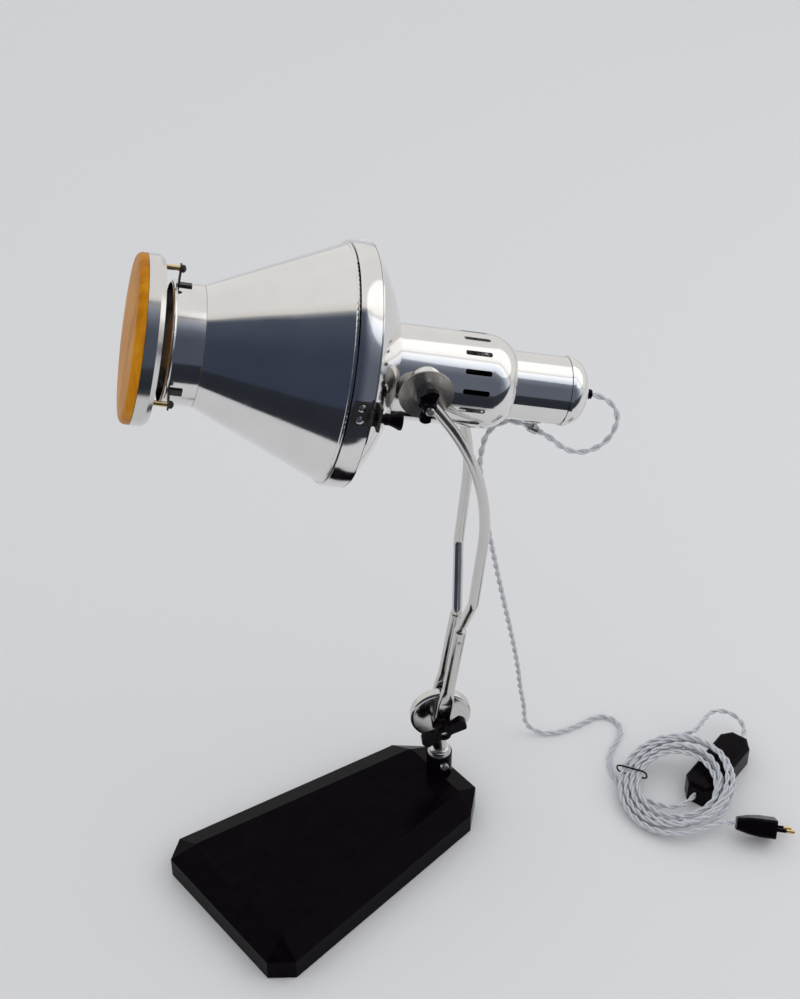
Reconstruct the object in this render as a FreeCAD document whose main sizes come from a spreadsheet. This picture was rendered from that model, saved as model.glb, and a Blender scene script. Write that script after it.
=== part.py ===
import FreeCAD, Part
import math
import os
from FreeCAD import Vector, Placement, Rotation
import Sketcher

# Tabletop searchlight lamp: cast base, swivel stem, forked arm, reflector head that opens at
# a band hinge, and a cloth cord with an in-line switch. Millimetres and degrees, +Z up, the
# origin at the middle of the underside of the base, the base's front towards -Y.

doc = FreeCAD.newDocument("searchlight")
sheet = doc.addObject("Spreadsheet::Sheet", "Sizes")

# Driving dimensions
sizes = {
    # Base casting
    "base_length": 300.0, "base_front": 203.0, "base_back": 120.0,
    "corner_front": 20.0, "corner_front_side": 22.0, "corner_back": 22.0,
    "corner_back_side": 29.0, "band_top": 24.0, "base_top": 36.0, "base_bevel": 24.0,
    "ridge_flat": 1.2, "base_wall": 10.0, "base_hollow": 17.0, "stem_inset": 18.0,
    "boss_radius": 13.2, "boss_top": 60.0, "pad_thick": 1.0, "felt_inset": 1.5,
    "plate_thick": 2.5, "plate_inset": 4.0, "plate_gap": 0.3,
    "plate_screw_radius": 1.5, "plate_screw_head": 2.4, "plate_screw_length": 10.0,
    "set_screw_radius": 2.5, "set_screw_head": 4.4, "set_screw_z": 51.0,
    "set_screw_turn": -20.0,
    # Stem
    "swivel": -32.2, "pin_radius": 6.0, "run_clear": 0.05, "seat_gap": 0.3,
    "stem_washer_thick": 1.2, "neck_radius": 7.5, "collar_radius": 10.5,
    "collar_height": 6.0, "pivot_low": 115.6, "disc_radius": 31.0,
    "disc_half": 6.5, "rim_round": 3.0, "disc_step": 0.8, "disc_flat": 27.0,
    "bolt_radius": 4.0, "retainer_radius": 7.7, "retainer_thick": 2.0, "pin_tail": 1.0,
    # Arm
    "arm_lean": 7.6, "sleeve_radius": 6.25, "sleeve_w": 13.2, "sleeve_length": 124.0,
    "blade_half": 3.9, "blade_wide": 9.0, "blade_top": 26.0, "blade_blend": 46.0,
    "eye_radius": 10.5, "leg_radius": 5.0, "leg_wall": 1.2, "leg_out": 11.9,
    "leg_low_w": 47.0, "leg_bow_y": -9.4, "leg_bow_z": 340.5, "leg_kink_y": -2.5,
    "leg_kink_z": 187.8, "leg_mouth_z": 128.0, "leg_foot_z": 96.0, "bow_bend": 230.0,
    "kink_bend": 13.0, "mouth_bend": 12.0, "fork_eye_radius": 8.5, "fork_eye_length": 13.4,
    "upper_y": -81.1, "upper_z": 424.3, "grub_radius": 1.8,
    "grub_height": 112.0, "bolt_head": 6.5, "bolt_head_thick": 5.3, "bolt_end": 30.0,
    "knob_hub": 8.5, "knob_length": 13.0, "knob_span": 25.0, "knob_thick": 8.0,
    "knob_tip": 7.0, "knob_turn": 38.0, "insert_radius": 6.0, "insert_thick": 2.4,
    # Head: stations run back along the lamp axis
    "head_tilt": -13.0, "pivot_s": 44.0, "pivot_up": 10.3, "sheet_wall": 1.0,
    "close_gap": 0.1, "joint_gap": 0.3, "tube_radius": 42.1, "tube_front": 20.0,
    "shoulder_front": 104.0, "shoulder_back": 127.0, "rear_radius": 30.5,
    "rear_front": 112.0, "rear_back": 178.0, "cap_bead": 1.2, "cap_bead_length": 3.0,
    "cap_face": 197.0, "cap_face_radius": 19.0, "cap_arc": 19.0, "cap_sleeve": 8.0,
    "gland_radius": 5.5, "gland_end": 206.0, "gland_flange": 8.0, "slot_count": 15.0,
    "slot_length": 26.0, "slot_width": 4.6, "slot_middle": 89.0, "bayonet_turn": -24.0,
    "bayonet_width": 2.6, "bayonet_end": 38.0, "bayonet_notch": 32.0,
    "bayonet_rise": 5.5, "rim_step": 0.6, "dome_front": -12.4, "dome_arc": 150.0,
    "dome_sleeve": 10.0, "lip_length": 9.0,
    # Upper pivot: the near side has a dished cup, the far side lies close to the tube
    "stud_rise": 0.4, "saddle_radius": 18.0, "saddle_rise": 1.5, "cup_radius": 24.0,
    "cup_hub": 11.5, "cup_thick": 1.4, "cup_depth": 4.4, "stud_reach": 16.0,
    "wing_hub": 6.5, "wing_length": 12.0, "wing_span": 16.5, "wing_thick": 5.5,
    "wing_tip": 5.0, "wing_turn": 75.0, "far_saddle_radius": 8.0, "far_saddle_rise": 0.9,
    "far_cup_radius": 7.5, "far_cup_thick": 0.8, "far_leg_out": 5.8,
    "far_eye_radius": 7.0, "far_eye_length": 5.5, "far_stud_reach": 6.4,
    "far_wing_hub": 5.2, "far_wing_length": 5.6, "far_wing_lift": 3.3, "far_wing_span": 11.0,
    "far_wing_thick": 1.8, "far_wing_tip": 3.2, "far_wing_turn": 0.0,
    # Lamp holder and bulb
    "socket_radius": 20.0, "socket_front": 76.0, "socket_plate_s": 113.0,
    "socket_plate_thick": 2.0, "bulb_cap_radius": 13.0, "bulb_cap_back": 102.0,
    "bulb_radius": 27.0, "bulb_middle": 22.0, "bulb_neck_s": 62.0,
    # Front shell
    "collar_r": 52.1, "collar_front": -177.5, "collar_bead": 1.9, "nose_back": -149.2,
    "cone_r": 103.4, "band_step": 3.3, "band_front": -31.0,
    "band_back": -12.8, "band_bulge": 60.0, "bead_r": 1.6, "ring_front": -200.1,
    "ring_back": -189.9, "ring_r": 73.3, "ring_hole": 62.0, "lip_back": -185.5,
    "lip_r": 70.3, "filter_r": 73.0, "filter_front": -211.0, "filter_round": 9.0,
    "filter_crown": 3.0, "filter_spigot": 6.0, "pin_turn": 103.0, "pin_r": 2.2,
    "pin_ring_r": 66.4, "pin_back": -173.4, "strap_thick": 1.4, "strap_width": 7.0,
    "foot_length": 12.0, "nut_r": 3.4, "nut_length": 4.0,
    # Hinge and clasp of the front shell
    "hinge_turn": 140.0, "hinge_rise": 3.3, "hinge_s": -12.6, "barrel_r": 2.6,
    "hinge_pin_r": 1.2, "barrel_half": 9.0, "barrel_middle": 2.7, "leaf_thick": 1.2,
    "leaf_front": -27.0, "leaf_half": 8.0, "block_half": 9.0, "block_back": -8.5,
    "clasp_turn": 12.0, "clasp_half": 10.0, "clasp_front": -29.0, "clasp_thick": 1.5,
    "lug_s": -9.0, "lug_thick": 2.4, "lug_rise": 11.3, "lug_half": 10.5,
    "clasp_rise": 6.3, "clasp_screw": 2.0, "clasp_knob_front": -3.0,
    "clasp_knob_back": 12.0, "clasp_knob_neck": 5.0, "clasp_knob_rim": 8.0,
    # Cord, its clip, the switch and the plug
    "cord_radius": 2.8, "clip_s": 161.7, "clip_drop": 40.9, "clip_w": 4.5,
    "clip_width": 8.0, "clip_wall": 1.3, "clip_turn": 21.0, "clip_screw_back": 7.5,
    "clip_screw_radius": 2.6, "clip_screw_head": 1.3, "switch_length": 94.0,
    "switch_width": 36.0, "switch_height": 26.0, "switch_split": 12.0,
    "switch_end": 9.0, "switch_round": 5.0, "switch_x": 171.5, "switch_y": 374.0,
    "switch_turn": 104.0, "rocker_radius": 8.0, "rocker_rise": 2.6, "rocker_half": 5.5,
    "plug_length": 40.0, "plug_width": 27.0, "plug_thick": 19.0, "plug_nose": 20.0,
    "prong_radius": 2.0, "prong_length": 19.0, "prong_space": 18.6, "prong_sleeve": 10.0,
}
for row, (alias, number) in enumerate(sizes.items(), start=1):
    sheet.set("A%d" % row, alias)
    sheet.set("B%d" % row, str(number))
    sheet.setAlias("B%d" % row, alias)
doc.recompute()


class Dim:
    """A size with its number and the sheet expression that it is bound to."""

    def __init__(self, number, text):
        self.number = float(number)
        self.text = text

    def __add__(self, other):
        other = dim(other)
        return Dim(self.number + other.number, "(%s + %s)" % (self.text, other.text))

    def __sub__(self, other):
        other = dim(other)
        return Dim(self.number - other.number, "(%s - %s)" % (self.text, other.text))

    def __mul__(self, other):
        other = dim(other)
        return Dim(self.number * other.number, "(%s * %s)" % (self.text, other.text))

    def __truediv__(self, other):
        other = dim(other)
        return Dim(self.number / other.number, "(%s / %s)" % (self.text, other.text))

    def __neg__(self):
        return Dim(-self.number, "(0 - %s)" % self.text)


def dim(value):
    if isinstance(value, Dim):
        return value
    return Dim(value, repr(float(value)))


def size(alias):
    return Dim(sheet.get(alias), "Sizes." + alias)


def num(alias):
    return float(sheet.get(alias))


# Frames that the bodies stand in
acrossAxis = Vector(1, 0, 0)
alongAxis = Vector(0, 1, 0)
upAxis = Vector(0, 0, 1)
baseFrame = Placement()
stemY = size("base_length") / 2 - size("stem_inset")
stemFrame = Placement(Vector(0, stemY.number, 0), Rotation(upAxis, num("swivel")))
armFrame = stemFrame * Placement(Vector(0, 0, num("pivot_low")),
                                 Rotation(acrossAxis, -num("arm_lean")))
leanBack = Rotation(acrossAxis, num("arm_lean"))
pivotFrame = armFrame * Placement(Vector(0, num("upper_y"), num("upper_z")), leanBack)
headTilt = Placement(Vector(), Rotation(acrossAxis, num("head_tilt")))
headPivot = pivotFrame * headTilt
headFrame = headPivot * Placement(Vector(0, -num("pivot_s"), -num("pivot_up")), Rotation())
farSide = Placement(Vector(), Rotation(upAxis, 180))
xUp = Rotation(alongAxis, 90)
yUp = Rotation(acrossAxis, -90)


def aroundHead(angle):
    """Frame at an angle round the lamp axis: +Z outward, +Y back along the axis."""
    return headFrame * Placement(Vector(), Rotation(alongAxis, 90 - angle))


# Sketches and features
roles = {"XY": "XY_Plane", "XZ": "XZ_Plane", "YZ": "YZ_Plane"}
nodes = []


def newBody(label, place=None):
    """A body that is a piece of its own, or with no place a blank for a group of copies."""
    owner = doc.addObject("PartDesign::Body", label)
    owner.Label = label
    if place is not None:
        owner.Placement = place
        nodes.append(owner)
    return owner


def newSketch(owner, plane, lift=None):
    sketch = owner.newObject("Sketcher::SketchObject", owner.Name + "_sketch")
    origin = [item for item in owner.Origin.OriginFeatures if item.Role == roles[plane]][0]
    sketch.AttachmentSupport = (origin, [""])
    sketch.MapMode = "FlatFace"
    if lift is not None:
        sketch.setExpression("AttachmentOffset.Base.z", dim(lift).text)
    return sketch


def bind(sketch, index, value):
    if "Sizes" in value.text:
        sketch.setExpression("Constraints[%d]" % index, value.text)


def pinned(sketch, shape, end, across, along):
    for kind, value in (("DistanceX", dim(across)), ("DistanceY", dim(along))):
        rule = Sketcher.Constraint(kind, -1, 1, shape, end, value.number)
        bind(sketch, sketch.addConstraint(rule), value)


def addArc(sketch, start, finish, radius, side):
    chord = finish - start
    rise = math.sqrt(max(radius.number ** 2 - chord.Length ** 2 / 4, 0.0))
    left = Vector(-chord.y, chord.x, 0) * (1 / chord.Length)
    centre = (start + finish) * 0.5 + left * (rise * side)
    first, last = (start, finish) if side > 0 else (finish, start)
    low = math.atan2(first.y - centre.y, first.x - centre.x)
    high = math.atan2(last.y - centre.y, last.x - centre.x)
    if high <= low:
        high += 2 * math.pi
    circle = Part.Circle(centre, upAxis, radius.number)
    shape = sketch.addGeometry(Part.ArcOfCircle(circle, low, high), False)
    bind(sketch, sketch.addConstraint(Sketcher.Constraint("Radius", shape, radius.number)),
         radius)
    return (shape, 1, 2) if side > 0 else (shape, 2, 1)


def outline(sketch, points):
    """Closed profile of (across, along) points; a third item (radius, side) bends the edge
    to the next point, with the arc's centre to the left (1) or right (-1) of the way there."""
    edges = []
    for index, point in enumerate(points):
        onward = points[(index + 1) % len(points)]
        start = Vector(dim(point[0]).number, dim(point[1]).number, 0)
        finish = Vector(dim(onward[0]).number, dim(onward[1]).number, 0)
        if len(point) > 2:
            edges.append(addArc(sketch, start, finish, dim(point[2][0]), point[2][1]))
        else:
            shape = sketch.addGeometry(Part.LineSegment(start, finish), False)
            edges.append((shape, 1, 2))
    for index, (shape, first, last) in enumerate(edges):
        before = edges[index - 1]
        sketch.addConstraint(Sketcher.Constraint("Coincident", before[0], before[2], shape, first))
        pinned(sketch, shape, first, points[index][0], points[index][1])


def round2(sketch, radius, across=0.0, along=0.0):
    """A full circle, its centre and radius bound to the sheet."""
    spot = Vector(dim(across).number, dim(along).number, 0)
    shape = sketch.addGeometry(Part.Circle(spot, upAxis, dim(radius).number), False)
    pinned(sketch, shape, 3, across, along)
    rule = Sketcher.Constraint("Radius", shape, dim(radius).number)
    bind(sketch, sketch.addConstraint(rule), dim(radius))


def revolve(owner, sketch, axis):
    turn = owner.newObject("PartDesign::Revolution", owner.Name + "_turn")
    turn.Profile = sketch
    turn.ReferenceAxis = (sketch, [axis])
    turn.Angle = 360
    return turn


def pad(owner, sketch, length):
    made = owner.newObject("PartDesign::Pad", owner.Name + "_pad")
    made.Profile = sketch
    made.Length = dim(length).number
    if "Sizes" in dim(length).text:
        made.setExpression("Length", dim(length).text)
    return made


def pocket(owner, sketch, length=None, onward=False):
    """Cut against the sketch's normal, or along it with onward; no length cuts through all."""
    doc.recompute()
    before = owner.Shape.Volume
    made = owner.newObject("PartDesign::Pocket", owner.Name + "_pocket")
    made.Profile = sketch
    made.Reversed = onward
    if length is None:
        made.Type = "ThroughAll"
    else:
        made.Length = dim(length).number
        if "Sizes" in dim(length).text:
            made.setExpression("Length", dim(length).text)
    doc.recompute()
    if owner.Shape.Volume >= before - 1e-6:
        raise RuntimeError("a pocket of %s cuts nothing" % owner.Label)
    return made


def turned(label, place, points, plane="XY", axis="V_Axis", lift=None):
    owner = newBody(label, place)
    sketch = newSketch(owner, plane, lift)
    outline(sketch, points)
    revolve(owner, sketch, axis)
    return owner


def rod(name, place, radius, length):
    made = doc.addObject("Part::Cylinder", name)
    made.Radius = dim(radius).number
    made.Height = dim(length).number
    for prop, value in (("Radius", dim(radius)), ("Height", dim(length))):
        if "Sizes" in value.text:
            made.setExpression(prop, value.text)
    made.Placement = place
    return made


def block(name, place, lengths):
    made = doc.addObject("Part::Box", name)
    for prop, value in zip(("Length", "Width", "Height"), lengths):
        setattr(made, prop, dim(value).number)
        if "Sizes" in dim(value).text:
            made.setExpression(prop, dim(value).text)
    made.Placement = place
    return made


def fused(label, pieces):
    made = doc.addObject("Part::MultiFuse", label)
    made.Label = label
    made.Shapes = pieces
    return made


def cutFrom(label, whole, tool):
    made = doc.addObject("Part::Cut", label)
    made.Label = label
    made.Base = whole
    made.Tool = tool
    return made


def keep(piece):
    nodes.append(piece)
    return piece


def placed(master, place):
    doc.recompute()
    shape = master.Shape.copy()
    shape.Placement = place * shape.Placement
    return shape


def group(label, shapes):
    """Small pieces that lie apart, as one node."""
    made = doc.addObject("Part::Feature", label)
    made.Label = label
    made.Shape = Part.makeCompound(shapes)
    nodes.append(made)
    return made


def copies(label, master, places):
    return group(label, [placed(master, place) for place in places])


def at(x, y, z, turn=None):
    return Placement(Vector(x, y, z), turn or Rotation())


def crownArc(radius, rise):
    """Radius of the arc that meets the axis squarely after this rise."""
    radius = dim(radius)
    rise = dim(rise)
    return (radius * radius + rise * rise) / (rise * 2)


# Base casting: an eight-sided block with a bevelled top and a boss for the stem
half = size("base_length") / 2
slope = (size("base_front") - size("base_back")) / (size("base_length") * 2)
slant = Dim(math.sqrt(1 + slope.number ** 2), "sqrt(1 + %s * %s)" % (slope.text, slope.text))


def sideX(along, inset):
    return size("base_front") / 2 - slope * (along + half) - slant * inset


def octagon(inset, front, frontSide, back, backSide):
    inset = dim(inset)
    low = inset - half
    high = half - inset
    right = [(sideX(low, inset) - front, low),
             (sideX(low + frontSide, inset), low + frontSide),
             (sideX(high - backSide, inset), high - backSide),
             (sideX(high, inset) - back, high)]
    return right + [(-x, y) for x, y in reversed(right)]


cuts = (size("corner_front"), size("corner_front_side"), size("corner_back"),
        size("corner_back_side"))
ridges = [cut * size("ridge_flat") / size("corner_front") for cut in cuts]
casting = newBody("base_casting", baseFrame)
bandSketch = newSketch(casting, "XY", size("pad_thick"))
outline(bandSketch, octagon(0.0, *cuts))
pad(casting, bandSketch, size("band_top") - size("pad_thick"))
lowSketch = newSketch(casting, "XY", size("band_top"))
outline(lowSketch, octagon(0.0, *cuts))
highSketch = newSketch(casting, "XY", size("base_top"))
outline(highSketch, octagon(size("base_bevel"), *ridges))
bevel = casting.newObject("PartDesign::AdditiveLoft", "base_bevel")
bevel.Profile = lowSketch
bevel.Sections = [highSketch]
bevel.Ruled = True
bossSketch = newSketch(casting, "XY", size("band_top"))
round2(bossSketch, size("boss_radius"), 0.0, stemY)
pad(casting, bossSketch, size("boss_top") - size("band_top"))
recessSketch = newSketch(casting, "XY", size("pad_thick"))
outline(recessSketch, octagon(size("plate_inset"), *cuts))
pocket(casting, recessSketch, size("plate_thick"), True)
hollowSketch = newSketch(casting, "XY", size("pad_thick"))
outline(hollowSketch, octagon(size("base_wall"), *cuts))
pocket(casting, hollowSketch, size("base_hollow"), True)
boreSketch = newSketch(casting, "XY", size("pad_thick"))
round2(boreSketch, size("pin_radius") + size("run_clear"), 0.0, stemY)
pocket(casting, boreSketch, None, True)
ledge = size("plate_inset") + size("plate_gap") * 3 + size("plate_screw_head")
screwRows = (-half + ledge + size("corner_front_side") * 1.5,
             half - ledge - size("corner_back_side") * 1.3)
screwSpots = [(sideX(y, ledge) * sign, y) for y in screwRows for sign in (1.0, -1.0)]
tapSketch = newSketch(casting, "XY", size("pad_thick") + size("plate_thick"))
for x, y in screwSpots:
    round2(tapSketch, size("plate_screw_radius") + size("run_clear"), x, y)
pocket(casting, tapSketch, size("plate_screw_length"), True)
sideSketch = newSketch(casting, "XZ")
sideSketch.AttachmentOffset = at(0, num("set_screw_z"), -stemY.number,
                                 Rotation(alongAxis, 90 + num("set_screw_turn")))
sideSketch.setExpression("AttachmentOffset.Base.y", size("set_screw_z").text)
sideSketch.setExpression("AttachmentOffset.Base.z", (-stemY).text)
sideSketch.setExpression("AttachmentOffset.Rotation.Angle",
                         (size("set_screw_turn") + 90.0).text)
round2(sideSketch, size("set_screw_radius") + size("run_clear"))
pocket(casting, sideSketch, size("boss_radius") + 1.0, True)

# Closing plate, its screws, and the felt under the base
plate = newBody("base_plate", baseFrame)
plateSketch = newSketch(plate, "XY", size("pad_thick"))
outline(plateSketch, octagon(size("plate_inset") + size("plate_gap"), *cuts))
pad(plate, plateSketch, size("plate_thick"))
for radius, depth in ((size("plate_screw_head") + size("plate_gap"), size("plate_thick") / 2),
                      (size("plate_screw_radius") + size("plate_gap"), None)):
    holeSketch = newSketch(plate, "XY", size("pad_thick"))
    for x, y in screwSpots:
        round2(holeSketch, radius, x, y)
    pocket(plate, holeSketch, depth, True)
plateScrew = newBody("plate_screw")
plateScrewSketch = newSketch(plateScrew, "XZ")
headTop = size("plate_thick") / 2
outline(plateScrewSketch, [(0.0, 0.0), (size("plate_screw_head"), 0.0),
                           (size("plate_screw_head"), headTop),
                           (size("plate_screw_radius"), headTop),
                           (size("plate_screw_radius"), size("plate_screw_length")),
                           (0.0, size("plate_screw_length"))])
revolve(plateScrew, plateScrewSketch, "V_Axis")
copies("base_plate_screws", plateScrew,
       [at(x.number, y.number, num("pad_thick")) for x, y in screwSpots])
felt = newBody("base_felt", baseFrame)
feltSketch = newSketch(felt, "XY")
outline(feltSketch, octagon(size("felt_inset"), *cuts))
pad(felt, feltSketch, size("pad_thick"))
setScrewSeat = size("boss_radius") + size("seat_gap")
setScrewPlace = at(0, stemY.number, num("set_screw_z"),
                   Rotation(upAxis, num("set_screw_turn")) * xUp)
turned("stem_set_screw", setScrewPlace,
       [(0.0, size("pin_radius") + size("seat_gap")),
        (size("set_screw_radius"), size("pin_radius") + size("seat_gap")),
        (size("set_screw_radius"), setScrewSeat), (size("set_screw_head"), setScrewSeat),
        (size("set_screw_head"), setScrewSeat + 3.2), (size("set_screw_head") - 1.0,
                                                       setScrewSeat + 4.2),
        (0.0, setScrewSeat + 4.2)], "XZ")

# Stem: pin in the boss, neck, and the polished disc that the arm tilts on
hollowTop = size("pad_thick") + size("base_hollow")
washerTop = size("boss_top") + size("stem_washer_thick")
shoulder = washerTop + size("seat_gap")
retainerTop = hollowTop - size("seat_gap")
pinEnd = retainerTop - size("retainer_thick") - size("pin_tail")
neckRound = size("collar_radius") - size("neck_radius")
neckTop = size("pivot_low") - size("disc_radius") * 0.8
knuckle = turned("stem_knuckle", stemFrame, [
    (0.0, pinEnd), (size("pin_radius"), pinEnd), (size("pin_radius"), shoulder),
    (size("collar_radius"), shoulder),
    (size("collar_radius"), shoulder + size("collar_height") - neckRound, (neckRound, 1)),
    (size("neck_radius"), shoulder + size("collar_height")),
    (size("neck_radius"), neckTop), (0.0, neckTop)], "XZ")
faceHalf = size("disc_half") - size("disc_step")
boltBore = size("bolt_radius") + size("run_clear")
rimLow = size("disc_radius") - size("rim_round")
discSketch = newSketch(knuckle, "XY", size("pivot_low"))
outline(discSketch, [
    (-size("disc_half"), boltBore), (size("disc_half"), boltBore),
    (size("disc_half"), size("disc_flat")), (faceHalf, size("disc_flat")),
    (faceHalf, rimLow, (size("rim_round"), 1)),
    (faceHalf - size("rim_round"), size("disc_radius")),
    (size("rim_round") - faceHalf, size("disc_radius"), (size("rim_round"), 1)),
    (-faceHalf, rimLow), (-faceHalf, size("disc_flat")),
    (-size("disc_half"), size("disc_flat"))])
revolve(knuckle, discSketch, "H_Axis")
pinBore = size("pin_radius") + size("run_clear")
turned("stem_washer", stemFrame, [
    (pinBore, size("boss_top")), (size("collar_radius") + 1.5, size("boss_top")),
    (size("collar_radius") + 1.5, washerTop), (pinBore, washerTop)], "XZ")
turned("stem_retainer", stemFrame, [
    (pinBore, retainerTop - size("retainer_thick")),
    (size("retainer_radius"), retainerTop - size("retainer_thick")),
    (size("retainer_radius"), retainerTop), (pinBore, retainerTop)], "XZ")


# Arm: two sleeves with flattened eyes at the foot, and the two bent legs in them
def ovalSection(sketch, halfThick, halfWide, endRadius):
    side = halfWide * 0.72
    outline(sketch, [(halfThick, -side), (halfThick, side, (endRadius, 1)),
                     (-halfThick, side), (-halfThick, -side, (endRadius, 1))])


def roundSection(sketch, radius):
    spot = radius * math.cos(math.pi / 4)
    outline(sketch, [(spot, -spot, (radius, 1)), (spot, spot, (radius, 1)),
                     (-spot, spot, (radius, 1)), (-spot, -spot, (radius, 1))])


def makeSleeve(label, middle, side):
    sleeve = newBody(label, armFrame * at(middle, 0, 0))
    eyeSketch = newSketch(sleeve, "YZ", -size("blade_half"))
    round2(eyeSketch, size("eye_radius"))
    pad(sleeve, eyeSketch, size("blade_half") * 2)
    webSketch = newSketch(sleeve, "XY")
    ovalSection(webSketch, size("blade_half"), size("blade_wide"), size("blade_half") * 1.25)
    pad(sleeve, webSketch, size("blade_top"))
    footSketch = newSketch(sleeve, "XY", size("blade_top"))
    ovalSection(footSketch, size("blade_half"), size("blade_wide"), size("blade_half") * 1.25)
    neckSketch = newSketch(sleeve, "XY", size("blade_blend"))
    roundSection(neckSketch, size("sleeve_radius"))
    blend = sleeve.newObject("PartDesign::AdditiveLoft", label + "_blend")
    blend.Profile = footSketch
    blend.Sections = [neckSketch]
    blend.Ruled = True
    tubeSketch = newSketch(sleeve, "XY", size("blade_blend"))
    round2(tubeSketch, size("sleeve_radius"))
    pad(sleeve, tubeSketch, size("sleeve_length") - size("blade_blend"))
    mouthSketch = newSketch(sleeve, "XY", size("sleeve_length"))
    round2(mouthSketch, size("leg_radius") + size("run_clear"))
    pocket(sleeve, mouthSketch, size("sleeve_length") - size("leg_foot_z") + size("run_clear"))
    pivotSketch = newSketch(sleeve, "YZ", -size("blade_half") - 1.0)
    round2(pivotSketch, boltBore)
    pocket(sleeve, pivotSketch, size("blade_half") * 2 + 2.0, True)
    grubSketch = newSketch(sleeve, "YZ")
    round2(grubSketch, size("grub_radius") + size("run_clear"), 0.0, size("grub_height"))
    pocket(sleeve, grubSketch, size("sleeve_radius") + 1.0, side > 0)
    return sleeve


def bentPath(points, bends):
    """Straight runs joined by tangent arcs of the given radii."""
    spots = [Vector(*point) for point in points]
    edges = []
    last = spots[0]
    for before, here, after, bend in zip(spots, spots[1:], spots[2:], bends):
        inward = (here - before).normalize()
        outward = (after - here).normalize()
        angle = inward.getAngle(outward)
        reach = bend * math.tan(angle / 2)
        start = here - inward * reach
        finish = here + outward * reach
        middle = (outward - inward).normalize()
        top = here + middle * (bend / math.cos(angle / 2) - bend)
        if (start - last).Length > 1e-6:
            edges.append(Part.LineSegment(last, start).toShape())
        edges.append(Part.Arc(start, top, finish).toShape())
        last = finish
    edges.append(Part.LineSegment(last, spots[-1]).toShape())
    return Part.Wire(edges)


def alongPath(wire, radius):
    first = wire.Edges[0]
    start = first.valueAt(first.FirstParameter)
    heading = first.tangentAt(first.FirstParameter)
    ring = Part.Wire(Part.Circle(start, heading, radius).toShape())
    return wire.makePipeShell([ring], True, False)


def legShape(across, eyeRadius, eyeIn, eyeLength):
    """A bent tube at this distance from the middle, with the eye of the upper pivot."""
    eye = Vector(across, num("upper_y"), num("upper_z"))
    bow = Vector(across, num("leg_bow_y"), num("leg_bow_z"))
    kink = Vector(num("leg_low_w"), num("leg_kink_y"), num("leg_kink_z"))
    mouth = Vector(num("sleeve_w"), 0, num("leg_mouth_z"))
    foot = Vector(num("sleeve_w"), 0, num("leg_foot_z"))
    bends = [num("mouth_bend"), num("kink_bend"), num("bow_bend")]
    outer = alongPath(bentPath([foot, mouth, kink, bow, eye], bends), num("leg_radius"))
    short = eye + (bow - eye).normalize() * (eyeRadius + 4)
    inner = alongPath(bentPath([foot, mouth, kink, bow, short], bends),
                      num("leg_radius") - num("leg_wall"))
    start = Vector(eyeIn, eye.y, eye.z)
    finish = Vector(eyeIn + eyeLength, eye.y, eye.z)
    room = eyeRadius + num("seat_gap") * 4
    boss = Part.makeCylinder(eyeRadius, eyeLength, start, acrossAxis)
    hole = Part.makeCylinder(num("bolt_radius") + num("run_clear"), eyeLength + 2,
                             start - acrossAxis, acrossAxis)
    inside = Part.makeCylinder(room, num("leg_radius") * 2, start, -acrossAxis)
    outside = Part.makeCylinder(room, num("leg_radius") * 2, finish, acrossAxis)
    return outer.fuse(boss).cut(inner).cut(hole).cut(inside).cut(outside)


def makeLeg(label, shape):
    leg = doc.addObject("Part::Feature", label)
    leg.Label = label
    leg.Shape = shape
    leg.Placement = armFrame
    nodes.append(leg)


tubeOut = size("tube_radius")
saddleFace = tubeOut + size("saddle_rise")
cupIn = saddleFace + size("seat_gap")
cupOut = cupIn + size("cup_thick")
eyeIn = cupOut + size("seat_gap")
eyeOut = eyeIn + size("fork_eye_length")
nutIn = eyeOut + size("seat_gap")
farSaddleFace = tubeOut + size("far_saddle_rise")
farCupIn = farSaddleFace + size("seat_gap")
farCupOut = farCupIn + size("far_cup_thick")
farEyeIn = farCupOut + size("seat_gap")
farEyeOut = farEyeIn + size("far_eye_length")
farNutIn = farEyeOut + size("seat_gap")
nearLeg = legShape((tubeOut + size("leg_out")).number, num("fork_eye_radius"), eyeIn.number,
                   num("fork_eye_length"))
farLeg = legShape((tubeOut + size("far_leg_out")).number, num("far_eye_radius"),
                  farEyeIn.number, num("far_eye_length")).mirror(Vector(), acrossAxis)
for name, side in (("near", 1), ("far", -1)):
    makeSleeve("sleeve_" + name, side * num("sleeve_w"), side)
    makeLeg("fork_leg_" + name, nearLeg if side > 0 else farLeg)
grub = rod("grub_blank", Placement(), size("grub_radius"),
           size("sleeve_radius") - size("leg_radius") + 1.0)
copies("sleeve_screws", grub,
       [armFrame * at(side * num("sleeve_w"), 0, num("grub_height"), Rotation(alongAxis, side * 90))
        * at(0, 0, num("leg_radius") + num("run_clear")) for side in (1, -1)])

# Bolt, washers and wing knob of the lower pivot
bladeOut = size("sleeve_w") + size("blade_half")
boltStart = -bladeOut - size("bolt_head_thick")
hexHead = doc.addObject("Part::Prism", "bolt_hexagon")
hexHead.Polygon = 6
hexHead.setExpression("Circumradius", (size("bolt_head") / math.cos(math.pi / 6)).text)
hexHead.setExpression("Height", size("bolt_head_thick").text)
hexHead.Placement = armFrame * at(boltStart.number, 0, 0, xUp)
shank = rod("bolt_shank", armFrame * at(-bladeOut.number - 1, 0, 0, xUp), size("bolt_radius"),
            bladeOut + size("bolt_end") + 1.0)
keep(fused("lower_bolt", [hexHead, shank]))
washerIn = size("disc_half") + size("seat_gap")
washerOut = size("sleeve_w") - size("blade_half")
washer = newBody("washer_blank")
washerSketch = newSketch(washer, "XY")
outline(washerSketch, [(washerIn, boltBore), (washerOut, boltBore),
                       (washerOut, size("eye_radius") - 1.5), (washerIn, size("eye_radius") - 1.5)])
revolve(washer, washerSketch, "H_Axis")
copies("lower_washers", washer, [armFrame, armFrame * farSide])


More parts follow.
